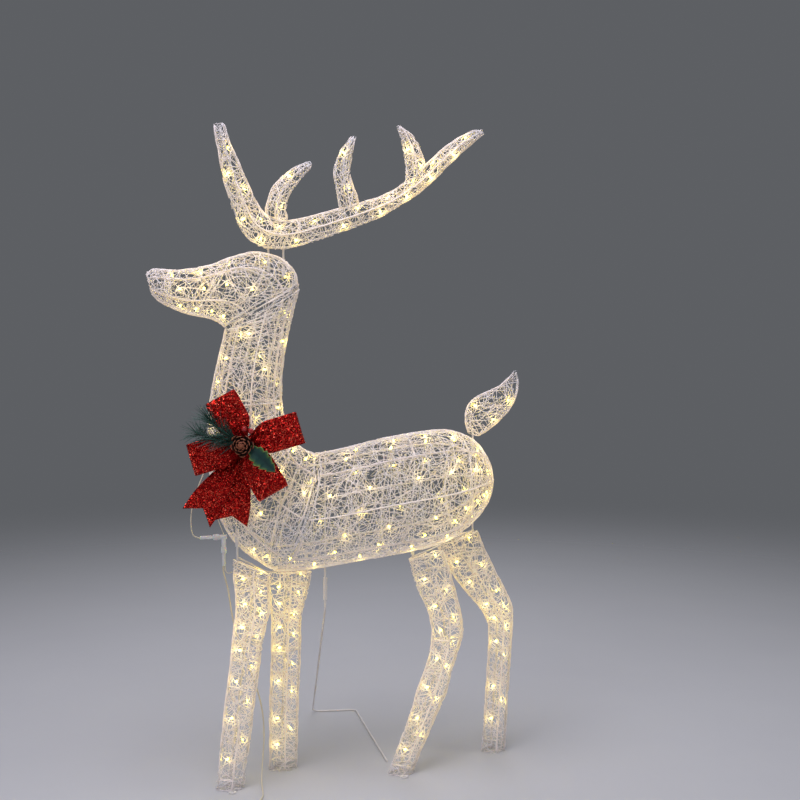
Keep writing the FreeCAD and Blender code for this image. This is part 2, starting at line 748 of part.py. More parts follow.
def bow_loop(angle, length, lift):
    """One loop of ribbon that leaves the knot at an angle in the bow's plane."""
    c = math.cos(math.radians(angle))
    s = math.sin(math.radians(angle))
    rows = []
    for part, half, thick in ((0.15, 10, 5), (0.4, 23, 9), (0.75, 30, 11), (1.0, 31, 10)):
        rows.append((c * length * part, s * length * part, half, thick, lift, angle))
    return bow_slab(rows)


BOW_LOOPS = [(112, 100, 3), (20, 112, 3), (194, 104, 3), (-53, 106, 3)]
BOW_TAILS = [(232, 168, -11), (262, 152, -16)]
TAIL_RISE = 8              # the tails' ends stand this much further out
TIE_CLEAR = 4.4            # middle of the bow's tie wire outside the skin


def build_bow():
    right, up, out = bow_frame()
    keep("bow_loops", [bow_loop(a, length, lift) for a, length, lift in BOW_LOOPS])
    tails = []
    for angle, length, lift in BOW_TAILS:
        c = math.cos(math.radians(angle))
        s = math.sin(math.radians(angle))
        rows = [(c * length * p, s * length * p, half, 1.5, lift + rise, angle)
                for p, half, rise in ((0.12, 12, 0), (0.5, 24, 2), (1.0, 31, TAIL_RISE))]
        tails.append(bow_slab(rows))
    keep("bow_tails", tails)
    knot = Part.makeSphere(13, BOW_AT)
    keep("bow_knot", knot)
    cone = Part.makeSphere(19, BOW_AT + out * 33)
    keep("pine_cone", cone)
    leaf = bow_slab([(14, -18, 4, 1, 24, -50), (24, -30, 15, 1, 24, -50),
                     (36, -44, 13, 1, 24, -50), (46, -56, 2, 1, 24, -50)])
    keep("holly_leaf", leaf)
    sprig = bow_slab([(-22, 4, 6, 3, 27, 190), (-45, 6, 20, 4, 27, 185),
                      (-72, 6, 14, 3, 27, 180)])
    keep("needle_sprig", sprig)
    berries = [Part.makeSphere(5, BOW_AT + right * u + up * v + out * 30)
               for u, v in ((6, 26), (-6, 27))]
    keep("berries", berries)
    post = cylinder(BOW_AT - out * 31.5, BOW_AT - out * 13.5, 1.2)
    keep("bow_tie_wire", [hoop(NECK, 11, ROUND, -TIE_CLEAR), post])


# The pieces that reach furthest out: nose, tail, feet, bow and stand.
FOOTPRINT = ("head_skin", "tail_skin", "rear_leg_right_skin", "bow_loops", "bow_knot",
             "pine_cone", "needle_sprig", "holly_leaf", "stand_base", "torso_skin")


def main():
    build_torso()
    build_head(build_neck())
    build_antler()
    build_tail()
    build_leg_pair("front")
    build_leg_pair("rear")
    build_sockets()
    build_stand()
    build_electrics()
    build_lead()
    build_bow()

    box = FreeCAD.BoundBox()
    for name in FOOTPRINT:
        for piece in NODES[name]:
            box.add(piece.optimalBoundingBox(False, False))
    shift = Vector(-box.Center.x, -box.Center.y, 0)
    print("moved by", shift)
    os.makedirs("parts", exist_ok=True)
    for name, pieces in NODES.items():
        moved = [p.translated(shift) for p in pieces]
        shape = moved[0] if len(moved) == 1 else Part.makeCompound(moved)
        bad = [k for k, p in enumerate(moved) if not p.isValid() or len(p.Solids) != 1]
        print(name, "solids", len(shape.Solids), "volume", round(shape.Volume), "bad", bad)
        shape.exportStep("parts/" + name + ".step")


main()
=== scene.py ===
# %% [markdown]
# # A light-up yard reindeer
# The deer is a cage of white coated wire. A skin of spun white thread is wound over the
# cage, little warm lamps sit just under the thread, and a red glitter bow with a cone, a
# leaf, berries and a sprig hangs at the throat. The cage, the lamps and the plugs come
# from the fixed frame. This notebook spins the thread, ties the bow, lays the lead, and
# gives every piece its finish. Lengths are in metres, as in the frame.

# %% Load the fixed frame
import json
import math
import random

import bpy
import numpy as np
from mathutils import Matrix, Vector
from mathutils.bvhtree import BVHTree
from mathutils.kdtree import KDTree

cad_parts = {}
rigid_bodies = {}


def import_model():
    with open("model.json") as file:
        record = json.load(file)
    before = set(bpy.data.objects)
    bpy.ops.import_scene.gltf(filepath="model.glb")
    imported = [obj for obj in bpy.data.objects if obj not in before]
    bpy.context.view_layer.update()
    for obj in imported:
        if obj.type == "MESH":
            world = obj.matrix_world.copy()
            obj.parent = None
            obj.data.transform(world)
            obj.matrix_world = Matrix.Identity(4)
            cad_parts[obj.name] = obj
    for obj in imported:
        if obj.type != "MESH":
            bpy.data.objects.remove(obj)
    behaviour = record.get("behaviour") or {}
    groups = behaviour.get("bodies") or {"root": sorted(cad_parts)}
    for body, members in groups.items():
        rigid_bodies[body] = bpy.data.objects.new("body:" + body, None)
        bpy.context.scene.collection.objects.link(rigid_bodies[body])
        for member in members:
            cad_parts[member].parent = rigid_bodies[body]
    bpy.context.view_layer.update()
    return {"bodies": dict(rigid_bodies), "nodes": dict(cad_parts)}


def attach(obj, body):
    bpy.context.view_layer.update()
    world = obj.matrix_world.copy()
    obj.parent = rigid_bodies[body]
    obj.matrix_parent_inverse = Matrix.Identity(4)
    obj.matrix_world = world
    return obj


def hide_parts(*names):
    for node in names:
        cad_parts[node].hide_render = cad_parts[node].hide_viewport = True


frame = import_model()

NODES = frame["nodes"]

# %% [markdown]
# ## Where things are
# The deer is drawn about its own middle plane in millimetres, with the nose towards -X,
# and the whole drawing is then moved so that its footprint is centred. `at` turns a
# point of that drawing into a point of the frame.

# %% From the drawing to the frame
MOVED = Vector((38.5, -133.765, 0.0))
MM = 0.001


def at(x, y, z):
    return (Vector((x, y, z)) + MOVED) * MM


print("middle plane at y =", round(at(0, 0, 0).y, 4))

# %% [markdown]
# ## The camera
# The deer is looked at from a little in front of its shoulder, from a standing child's
# eye height. A longish lens keeps the legs straight.

# %% Camera
CAMERA_AT = (-0.6115, -2.8788, 0.95)
CAMERA_DIP = 3.84
CAMERA_TURN = -15.0
scene = bpy.context.scene
lens = bpy.data.cameras.new("camera")
lens.lens = 63.0
lens.sensor_width = 36.0
lens.clip_end = 60.0
camera = bpy.data.objects.new("camera", lens)
scene.collection.objects.link(camera)
camera.location = CAMERA_AT
camera.rotation_euler = (math.radians(90.0 - CAMERA_DIP), 0.0, math.radians(CAMERA_TURN))
scene.camera = camera
print("camera at", tuple(round(v, 3) for v in camera.location))

# %% [markdown]
# ## The supply lead
# A thin limp lead leaves the plug under the chest, hangs down between the front legs and
# lies on the floor. The rest of it is put away in a small coil held by a strip, with the
# plug beside it. A cord looks right when it is one smooth curve, so the whole lead, coil
# and all, is a single NURBS spline.

# %% Lead, coil and all
LEAD_DIAMETER = 0.003
LEAD_HANGS = [
    at(-277.4, 0.3, 435.8), at(-277.8, 0.8, 426), at(-273, 4, 409), at(-266, 7, 382),
    at(-262, 7, 346), at(-252, 6, 296), at(-232, 4, 240), at(-213, 1, 190),
    at(-201, -4, 140), at(-199, -10, 92), at(-203, -17, 52), at(-208, -30, 22),
    at(-212, -52, 6), at(-215, -84, 1.6), at(-219, -113, 1.6), at(-232, -138, 1.6),
    at(-246, -151, 1.6),
]
COIL_CENTRE = at(-266, -176, 0)
COIL_RINGS = [20.5, 17.0, 13.5]
COIL_LAYERS = [1.6, 5.0, 8.4]
TURN_POINTS = 16
COIL_START_DEG = 75.0
COIL_END_DEG = 140.0


def coil_points():
    """Nine turns, outward and inward again, one layer on the next."""
    rings = []
    for k, height in enumerate(COIL_LAYERS):
        order = COIL_RINGS if k % 2 == 0 else COIL_RINGS[::-1]
        rings += [(r, height) for r in order]
    points = []
    whole = len(rings) - 1 + (COIL_END_DEG - COIL_START_DEG) / 360.0
    steps = int(whole * TURN_POINTS)
    for k in range(steps + 1):
        turn = k / TURN_POINTS
        ring = min(int(turn), len(rings) - 1)
        ahead = min(ring + 1, len(rings) - 1)
        part = max(0.0, (turn - ring - 0.6) / 0.4)
        radius = rings[ring][0] + (rings[ahead][0] - rings[ring][0]) * part
        height = rings[ring][1] + (rings[ahead][1] - rings[ring][1]) * part
        angle = math.radians(COIL_START_DEG) + turn * math.tau
        points.append(COIL_CENTRE + Vector((radius * math.cos(angle),
                                            radius * math.sin(angle), height)) * MM)
    return points


LEAD_ENDS = [at(-283.5, -166.5, 7.4), at(-284.5, -174, 6.2), at(-289.2, -176, 5.8)]


def smooth_cord(name, points, radius, sides=4):
    """One open NURBS spline; each point's radius scales a bevel that is one metre deep."""
    curve = bpy.data.curves.new(name, "CURVE")
    curve.dimensions = "3D"
    curve.bevel_depth = 1.0
    curve.bevel_resolution = sides
    curve.resolution_u = 4
    curve.use_fill_caps = True
    spline = curve.splines.new("NURBS")
    spline.points.add(len(points) - 1)
    for point, place in zip(spline.points, points):
        point.co = (*place, 1.0)
        point.radius = radius
    spline.order_u = 3
    spline.use_endpoint_u = True
    made = bpy.data.objects.new(name, curve)
    scene.collection.objects.link(made)
    return made


lead = smooth_cord("lead", LEAD_HANGS + coil_points() + LEAD_ENDS, LEAD_DIAMETER / 2)
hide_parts("lead_cord", "lead_coil")
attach(lead, "frame_and_skin")
print("lead points", len(lead.data.splines[0].points))

# %% [markdown]
# A second short cord joins the plug at the chest to the lights in the neck. It is held
# at both ends, so it bows out in front of the chest.

# %% The jumper at the throat
JUMPER_DIAMETER = 0.0024
JUMPER_ROUTE = [
    at(-323.1, 0, 494), at(-335, 0, 494.8), at(-340.5, -2, 512), at(-341, -6, 538),
    at(-338, -9, 562), at(-330, -10, 588), at(-320, -8, 612), at(-310, -4, 634),
]
jumper = smooth_cord("throat_jumper", JUMPER_ROUTE, JUMPER_DIAMETER / 2)
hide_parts("neck_jumper")
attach(jumper, "frame_and_skin")
print("jumper made")

# %% [markdown]
# ## Writing shaders as sums
# A shader is arithmetic on what is known at a point of the surface: where it is, a noise
# value, a mask. `Value` wraps one socket, so that `1 - mask * 0.4` adds the Math nodes
# for us. `Finish` holds one material, and its `node` makes any other kind of node.

# %% A socket that can do sums
class Value:
    def __init__(self, finish, socket):
        self.finish = finish
        self.socket = socket

    def _math(self, operation, first, second):
        return self.finish.node("Math", {"operation": operation}, {0: first, 1: second})

    def __add__(self, other):
        return self._math("ADD", self, other)

    def __sub__(self, other):
        return self._math("SUBTRACT", self, other)

    def __rsub__(self, other):
        return self._math("SUBTRACT", other, self)

    def __mul__(self, other):
        return self._math("MULTIPLY", self, other)

    __radd__ = __add__
    __rmul__ = __mul__


class Finish:
    """One material on the standard shader."""

    def __init__(self, name, **uniform):
        self.material = bpy.data.materials.new(name)
        self.material.use_nodes = True
        self.tree = self.material.node_tree
        self.shader = self.tree.nodes["Principled BSDF"]
        for socket, amount in uniform.items():
            self.shader.inputs[socket.replace("_", " ")].default_value = amount

    def put(self, socket, value):
        if isinstance(value, Value):
            self.tree.links.new(value.socket, socket)
        elif value is not None:
            socket.default_value = value

    def node(self, kind, settings=None, inputs=None, output=0):
        made = self.tree.nodes.new("ShaderNode" + kind)
        for key, setting in (settings or {}).items():
            if key == "stops":
                while len(made.color_ramp.elements) < len(setting):
                    made.color_ramp.elements.new(0.5)
                for stop, (place, colour) in zip(made.color_ramp.elements, setting):
                    stop.position = place
                    stop.color = (*colour, 1.0)
            else:
                setattr(made, key, setting)
        for key, value in (inputs or {}).items():
            self.put(made.inputs[key], value)
        return Value(self, made.outputs[output])

    def where(self):
        return self.node("TexCoord", output="Object")

    def noise(self, scale, detail=3.0):
        return self.node("TexNoise", {}, {"Vector": self.where(), "Scale": scale,
                                          "Detail": detail, "Roughness": 0.55})

    def ramp(self, value, stops):
        return self.node("ValToRGB", {"stops": stops}, {0: value})

    def steps(self, value, low, high):
        """0 below low, 1 above high, smooth between."""
        return self.node("MapRange", {"interpolation_type": "SMOOTHSTEP"},
                         {0: value, 1: low, 2: high, 3: 0.0, 4: 1.0})

    def mix(self, factor, first, second):
        """A colour between two colours."""
        first = first if isinstance(first, Value) else (*first, 1.0)
        second = second if isinstance(second, Value) else (*second, 1.0)
        return self.node("Mix", {"data_type": "RGBA"}, {0: factor, 6: first, 7: second},
                         output=2)

    def attribute(self, name):
        return self.node("Attribute", {"attribute_name": name}, output="Fac")

    def bump(self, height, distance, strength=1.0):
        return self.node("Bump", {}, {"Height": height, "Distance": distance,
                                      "Strength": strength})

    def wear(self, **varying):
        """Links what varies over the surface to the shader."""
        for socket, value in varying.items():
            self.put(self.shader.inputs[socket.replace("_", " ")], value)


print("shader helpers ready")

# %% [markdown]
# ## Finishes of the cage, lamps and leads
# The wire is powder coated: a soft white with a fine orange-peel skin and a little grime
# where hands and weather reach. The lamps glow warm. The strings and leads are cream
# plastic, and the connectors are milky moulded plastic.

# %% Powder coated wire
wire_coat = Finish("powder_coat", Coat_Roughness=0.3, IOR=1.45)
grime = wire_coat.steps(wire_coat.noise(18.0, 5.0), 0.45, 0.75)
peel = wire_coat.noise(1400.0, 2.0)
wire_coat.wear(
    Base_Color=wire_coat.mix(grime, (0.84, 0.80, 0.77), (0.74, 0.68, 0.62)),
    Roughness=0.34 + grime * 0.22,
    Normal=wire_coat.bump(peel, 0.0002, 0.6),
)

# %% Warm lamps
LAMP_GLOW = (1.0, 0.80, 0.058)
lamp_lens = Finish("lamp_lens", Roughness=0.12, Emission_Strength=14.0)
lamp_flicker = lamp_lens.noise(9.0, 1.0)
lamp_lens.wear(
    Base_Color=lamp_lens.mix(lamp_flicker, (1.0, 0.93, 0.74), (1.0, 0.86, 0.6)),
    Emission_Color=lamp_lens.mix(lamp_lens.steps(lamp_flicker, 0.35, 0.65),
                                 (1.0, 0.86, 0.075), LAMP_GLOW),
)

# %% Strings, leads and connectors
string_sheath = Finish("string_sheath", IOR=1.5)
string_tone = string_sheath.noise(60.0, 3.0)
string_sheath.wear(
    Base_Color=string_sheath.mix(string_tone, (0.86, 0.80, 0.66), (0.75, 0.68, 0.50)),
    Roughness=0.4 + string_tone * 0.2,
)

lead_sheath = Finish("lead_sheath", IOR=1.5)
lead_tone = lead_sheath.noise(35.0, 4.0)
lead_scuff = lead_sheath.noise(900.0, 2.0)
lead_sheath.wear(
    Base_Color=lead_sheath.mix(lead_tone, (0.80, 0.74, 0.58), (0.68, 0.60, 0.42)),
    Roughness=0.42 + lead_tone * 0.2,
    Normal=lead_sheath.bump(lead_scuff, 0.0001, 0.5),
)

milky = Finish("milky_plastic", IOR=1.5, Subsurface_Weight=0.35, Subsurface_Scale=0.004,
               Coat_Weight=0.2)
milky_cloud = milky.noise(120.0, 3.0)
milky_pit = milky.noise(2200.0, 2.0)
milky.wear(
    Base_Color=milky.mix(milky_cloud, (0.84, 0.85, 0.84), (0.74, 0.75, 0.72)),
    Roughness=0.24 + milky_cloud * 0.18,
    Normal=milky.bump(milky_pit, 0.00008, 0.5),
)

strip = Finish("tie_strip", IOR=1.45)
strip_grain = strip.noise(500.0, 3.0)
strip.wear(
    Base_Color=strip.mix(strip_grain, (0.80, 0.80, 0.77), (0.70, 0.70, 0.66)),
    Roughness=0.45 + strip_grain * 0.2,
    Normal=strip.bump(strip_grain, 0.0001),
)
print("plain finishes", [m.name for m in bpy.data.materials][:8])

# %% [markdown]
# Kept pieces take their finish as their one material. The mesh stays as it is.

# %% Dress the kept pieces
def dress(made, finish):
    """Puts one finish on every material slot."""
    made.data.materials.clear()
    made.data.materials.append(finish.material)


def fit(made, finish, node, body="frame_and_skin"):
    """Dresses a new piece, puts it in place of a frame node and on that node's body."""
    dress(made, finish)
    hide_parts(node)
    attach(made, body)


KEPT = [
    ("_frame", wire_coat, "coated_wire"), ("_bulbs", lamp_lens, "led_lens"),
    ("_light_string", string_sheath, "light_string"),
    ("_prongs", wire_coat, "coated_wire"), ("_prong", wire_coat, "coated_wire"),
    ("_sockets", wire_coat, "coated_wire"), ("_eyes", wire_coat, "coated_wire"),
    ("stand_rod", wire_coat, "coated_wire"), ("stand_base", wire_coat, "coated_wire"),
    ("stand_sleeve", wire_coat, "coated_wire"), ("_plug", milky, "connector_plastic"),
    ("splitter_tee", milky, "connector_plastic"), ("lead_tie", strip, "tie_plastic"),
    ("splitter_tie", string_sheath, "tie_wire"),
    ("bow_tie_wire", string_sheath, "tie_wire"),
    ("leg_jumper", lead_sheath, "lead_sheath"),
    ("_collar", milky, "connector_plastic"),
]
for name, node in NODES.items():
    for ending, finish, slot in KEPT:
        if name.endswith(ending):
            dress(node, finish)
            break
dress(lead, lead_sheath)
dress(jumper, lead_sheath)
print("kept pieces dressed")

# %% [markdown]
# ## Where the lamps are
# The painted glow on the thread is worked out from the lamps' places, so these are read
# from the frame.
# Each lens is a small island of vertices, no more than eight millimetres long.

# %% Find the lamps
LENS_REACH = 0.0076


def lens_centres(node):
    """The middle of each lens in one node."""
    points = np.empty(len(node.data.vertices) * 3, np.float32)
    node.data.vertices.foreach_get("co", points)
    points = points.reshape(-1, 3)
    centres = []
    while len(points):
        near = np.linalg.norm(points - points[0], axis=1) < LENS_REACH
        centres.append(points[near].mean(0))
        points = points[~near]
    return centres


lamps = [c for name, node in NODES.items() if name.endswith("_bulbs")
         for c in lens_centres(node)]
lamp_tree = KDTree(len(lamps))
for index, centre in enumerate(lamps):
    lamp_tree.insert(centre, index)
lamp_tree.balance()
print("lamps", len(lamps))

# %% [markdown]
# ## Spinning the skin
# The real skin is one long plastic thread, spun back and forth over the cage while it is
# soft, so that it crosses itself everywhere and leaves small uneven holes. A bump map
# can't do that, because the holes are open: the lamps, the cage and the far side show
# through them. So the thread is made. Each strand is a walk over the skin's face in
# short steps. The walk wanders as it goes, and each step is pulled back onto the face.

# %% The outer face of a skin
JOIN_GAP = 0.005
SKINS = [name for name in NODES if name.endswith("_skin")]


def triangles_of(node):
    mesh = node.data
    mesh.calc_loop_triangles()
    points = np.empty(len(mesh.vertices) * 3, np.float32)
    mesh.vertices.foreach_get("co", points)
    corners = np.empty(len(mesh.loop_triangles) * 3, np.int32)
    mesh.loop_triangles.foreach_get("vertices", corners)
    return points.reshape(-1, 3).astype(float), corners.reshape(-1, 3)


def crossings(tree, start, direction):
    """How many faces a ray crosses, up to four."""
    count = 0
    origin = start.copy()
    while count < 4:
        hit = tree.ray_cast(origin, direction)[0]
        if hit is None:
            break
        count += 1
        origin = hit + direction * 0.0001
    return count


class Face:
    """The outer face of one skin, without the ends that another skin closes off."""

    def __init__(self, name, neighbours):
        points, corners = triangles_of(NODES[name])
        a, b, c = points[corners[:, 0]], points[corners[:, 1]], points[corners[:, 2]]
        cross = np.cross(b - a, c - a)
        size = np.linalg.norm(cross, axis=1)
        normals = cross / np.maximum(size, 1e-15)[:, None]
        middle = (a + b + c) / 3
        tree = BVHTree.FromPolygons(points.tolist(), corners.tolist())
        outer = np.zeros(len(corners), bool)
        for k in np.nonzero(size > 1e-12)[0]:
            direction = Vector(normals[k])
            start = Vector(middle[k]) + direction * 0.0002
            if crossings(tree, start, direction) not in (0, 4):
                continue
            outer[k] = not any(n.ray_cast(start, direction, JOIN_GAP)[0]
                               for n in neighbours)
        self.points = points
        self.corners = corners[outer]
        self.normals = normals[outer]
        self.sizes = size[outer] / 2
        self.area = float(self.sizes.sum())
        self.tree = BVHTree.FromPolygons(points.tolist(), self.corners.tolist())
        self.pick = np.cumsum(self.sizes) / self.area

    def start(self, chance):
        """A random point of the face and its normal."""
        k = min(int(np.searchsorted(self.pick, chance.random())), len(self.corners) - 1)
        s, t = chance.random(), chance.random()
        if s + t > 1:
            s, t = 1 - s, 1 - t
        a, b, c = (Vector(self.points[i]) for i in self.corners[k])
        return a + (b - a) * s + (c - a) * t, Vector(self.normals[k])


skin_trees = {name: BVHTree.FromPolygons(*(x.tolist() for x in triangles_of(NODES[name])))
              for name in SKINS}
faces = {}
for name in SKINS:
    joined = [skin_trees[n] for n in ("torso_skin", "neck_skin", "head_skin") if n != name]
    faces[name] = Face(name, joined if name in ("torso_skin", "neck_skin", "head_skin")
                       else [])
    print(name, "outer face", round(faces[name].area, 4), "m2,",
          len(faces[name].corners), "triangles")

# %% [markdown]
# A strand keeps its heading as a direction in the face. Its bend changes slowly, so that
# it runs in long uneven arcs, and it rises and dips a little, over and under the others.
# Strands thrown down at random leave clumps and bare patches. So `Laid` counts the thread
# in each small cell, and both the start and the bends of a strand favour emptier cells.
# Where the cage lies under the skin, thicker thread follows each wire. The shader also
# gives that thread a paler pink colour, a painted highlight, so the wires show as paler
# lines.

# %% Walk a strand over the face
STEP = 0.0058
EDGE_SLACK = 0.5
WANDER = 0.19
BEND_KEPT = 0.72
BEND_NEW = 0.7
THREAD_RADIUS = (0.00046, 0.00068)


class Laid:
    """Counts the thread laid in each small cell, so that strands can seek gaps."""

    def __init__(self, size):
        self.size = size
        self.count = {}

    def cell(self, place):
        return tuple(int(math.floor(v / self.size)) for v in place)

    def add(self, place):
        key = self.cell(place)
        self.count[key] = self.count.get(key, 0) + 1

    def at(self, place):
        return self.count.get(self.cell(place), 0)


def walk(face, place, normal, heading, steps, laid, chance):
    """The points and normals of one strand, which leans to the emptier side."""
    track = []
    bend = chance.gauss(0.0, WANDER)
    for _ in range(steps):
        track.append((place, normal))
        laid.add(place)
        bend = bend * BEND_KEPT + chance.gauss(0.0, WANDER) * BEND_NEW
        turned = Matrix.Rotation(bend, 3, normal) @ heading
        other = Matrix.Rotation(-bend, 3, normal) @ heading
        if laid.at(place + other * 2 * STEP) < laid.at(place + turned * 2 * STEP):
            turned = other
            bend = -bend
        heading = turned
        target = place + heading * STEP
        found, found_normal, _, _ = face.tree.find_nearest(target)
        if (found - target).length > EDGE_SLACK * STEP:
            break
        heading = found - place
        heading -= found_normal * heading.dot(found_normal)
        if heading.length < 0.2 * STEP:
            break
        heading.normalize()
        place, normal = found, found_normal
    return track


def tangent(normal, chance):
    """A random direction in the face."""
    across = normal.orthogonal().normalized()
    return Matrix.Rotation(chance.uniform(0, math.tau), 3, normal) @ across


def wire_starts(node, face, reach, count, chance):
    """Places on the face over a wire, each with the wire's own direction."""
    points, corners = triangles_of(node)
    wires = BVHTree.FromPolygons(points.tolist(), corners.tolist())
    a, b, c = (points[corners[:, k]] for k in range(3))
    size = np.linalg.norm(np.cross(b - a, c - a), axis=1)
    pick = np.cumsum(size) / size.sum()
    starts = []
    for _ in range(count):
        k = min(int(np.searchsorted(pick, chance.random())), len(corners) - 1)
        sides = sorted((b[k] - a[k], c[k] - b[k], a[k] - c[k]),
                       key=lambda side: -np.linalg.norm(side))
        part = chance.random()
        middle = Vector((a[k] + b[k] + c[k]) / 3) + Vector(sides[0]) * (part - 0.5) * 0.6
        found, normal, _, gap = face.tree.find_nearest(middle)
        along = Vector(sides[0])
        along -= normal * along.dot(normal)
        if gap > reach or along.length < 1e-6:
            continue
        starts.append((found, normal, along.normalized()))
    return wires, starts


def follow(face, wires, place, normal, heading, steps, reach):
    """A strand that keeps to the face right over a wire."""
    track = []
    for _ in range(steps):
        track.append((place, normal))
        on_wire, _, _, gap = wires.find_nearest(place + heading * STEP)
        if gap > reach:
            break
        found, found_normal, _, _ = face.tree.find_nearest(on_wire)
        turned = found - place
        if turned.length < 0.4 * STEP or turned.normalized().dot(heading) < 0.7:
            break
        heading = turned.normalized()
        place, normal = found, found_normal
    return track


print("strand step", STEP)

# %% [markdown]
# A strand becomes a thin tube. Every point has the face's normal, so a ring of four
# corners around it can't twist. The tube's vertices also carry two numbers for the
# shader: a painted lamp glow worked out from the distance to the lamps, and which strand
# they belong to.

# %% Thread tubes
# How the painted glow on the thread fades away from each lamp.
NEAR_GLOW = 0.0092
WIDE_GLOW = 0.036
WIDE_SHARE = 0.085
GLOW_REACH = 0.11
MEAN_DIP = 0.0009
RIPPLE = 0.0007


def painted_glow_at(place):
    """Painted glow worked out from the distance to the lamps around: bright close by, and
    a wide faint halo.
    """
    total = 0.0
    for _, _, gap in lamp_tree.find_range(place, GLOW_REACH):
        total += math.exp(-(gap / NEAR_GLOW) ** 2)
        total += WIDE_SHARE * math.exp(-gap / WIDE_GLOW)
    return total


def carry(mesh, key, values):
    """Gives each vertex a number that a shader can read by name."""
    layer = mesh.attributes.new(key, "FLOAT", "POINT")
    layer.data.foreach_set("value", np.array(values, np.float32))


def thread_mesh(name, tracks, chance):
    """One mesh of thin four-sided tubes along all the (track, thickness) pairs."""
    rings, quads, glow, strand = [], [], [], []
    base = 0
    for track, thick in tracks:
        count = len(track)
        places = np.array([p for p, _ in track])
        normals = np.array([n for _, n in track])
        ahead = np.gradient(places, axis=0)
        ahead /= np.linalg.norm(ahead, axis=1)[:, None]
        aside = np.cross(ahead, normals)
        aside /= np.maximum(np.linalg.norm(aside, axis=1), 1e-9)[:, None]
        upward = np.cross(aside, ahead)
        radius = chance.uniform(*THREAD_RADIUS) * thick
        phase, speed = chance.uniform(0, math.tau), chance.uniform(0.5, 1.1)
        dip = MEAN_DIP + RIPPLE * np.sin(phase + speed * np.arange(count))
        middle = places - normals * dip[:, None]
        ring = np.stack([middle + upward * radius, middle + aside * radius,
                         middle - upward * radius, middle - aside * radius], axis=1)
        rings.append(ring.reshape(-1, 3))
        index = base + np.arange(count - 1)[:, None] * 4
        side = np.arange(4)[None, :]
        after = (side + 1) % 4
        quads.append(np.stack([index + side, index + after, index + 4 + after,
                               index + 4 + side], axis=2).reshape(-1, 4))
        last = base + (count - 1) * 4
        quads.append(np.array([[base + 3, base + 2, base + 1, base],
                               [last, last + 1, last + 2, last + 3]]))
        for place, _ in track:
            glow += [painted_glow_at(place)] * 4
        # Thread over a wire gets a value above one, which the shader turns into a painted
        # pale pink highlight.
        strand += [chance.random() + 2 * (thick - 1)] * (count * 4)
        base += count * 4
    verts, polys = np.concatenate(rings), np.concatenate(quads)
    mesh = bpy.data.meshes.new(name)
    mesh.vertices.add(len(verts))
    mesh.vertices.foreach_set("co", verts.astype(np.float32).ravel())
    mesh.loops.add(len(polys) * 4)
    mesh.loops.foreach_set("vertex_index", polys.astype(np.int32).ravel())
    mesh.polygons.add(len(polys))
    mesh.polygons.foreach_set("loop_start", np.arange(len(polys), dtype=np.int32) * 4)
    mesh.polygons.foreach_set("use_smooth", np.ones(len(polys), bool))
    mesh.update(calc_edges=True)
    carry(mesh, "lamp_glow", glow)
    carry(mesh, "strand", strand)
    made = bpy.data.objects.new(name, mesh)
    scene.collection.objects.link(made)
    return made


print("tube maker ready")

# %% [markdown]
# The thread itself is glossy white plastic. Strands differ a little: some lean to pink,
# some to a cold white. Near a lamp the thread gets a painted warm glow: the glow value
# goes to the emission colour, so it shows whatever light falls on the thread.

# %% Spun thread finish
thread = Finish("spun_thread", IOR=1.5, Emission_Strength=1.45)
strand_mix = thread.attribute("strand")
lit = thread.attribute("lamp_glow")
# Painted highlight: thread over the wires takes the pale pink colour; other strands differ
# at random.
thread_tone = thread.mix(strand_mix, (0.84, 0.84, 0.92), (0.97, 0.88, 0.88))
thread_fine = thread.noise(900.0, 2.0)
# Painted glow: an emission colour, warmer and stronger close to a lamp.
glow_tint = thread.mix(thread.steps(lit, 0.15, 1.2), (1.0, 0.70, 0.20), (1.0, 0.90, 0.48))
glow_strength = thread.node("Math", {"operation": "MINIMUM"}, {0: lit * 1.2, 1: 1.7})
thread.wear(
    Base_Color=thread_tone,
    Roughness=0.36 + thread_fine * 0.2,
    Emission_Color=thread.mix(glow_strength, (0.0, 0.0, 0.0), glow_tint),
    Normal=thread.bump(thread_fine, 0.0002, 0.5),
)
print("thread finish ready")

# %% Spin every skin
THREAD_PER_AREA = 300.0
CELL = 0.007
START_TRIES = 18
STRAND_STEPS = (8, 26)
WIRE_STEPS = (14, 34)
FIRST_SEED = 100
WIRE_THREAD = {
    "torso_skin": ("torso_frame", 210), "neck_skin": ("neck_frame", 110),
    "head_skin": ("head_frame", 60), "antler_skin": ("antler_frame", 70),
    "tail_skin": ("tail_frame", 14),
    "front_leg_left_skin": ("front_legs_frame", 60),
    "front_leg_right_skin": ("front_legs_frame", 60),
    "rear_leg_left_skin": ("rear_legs_frame", 60),
    "rear_leg_right_skin": ("rear_legs_frame", 60),
}
WIRE_THICK = 1.9
WIRE_REACH = 0.0075
BODY_OF = {name: body.name.split(":")[1] for body in frame["bodies"].values()
           for name in [n.name for n in body.children if n.name in NODES]}


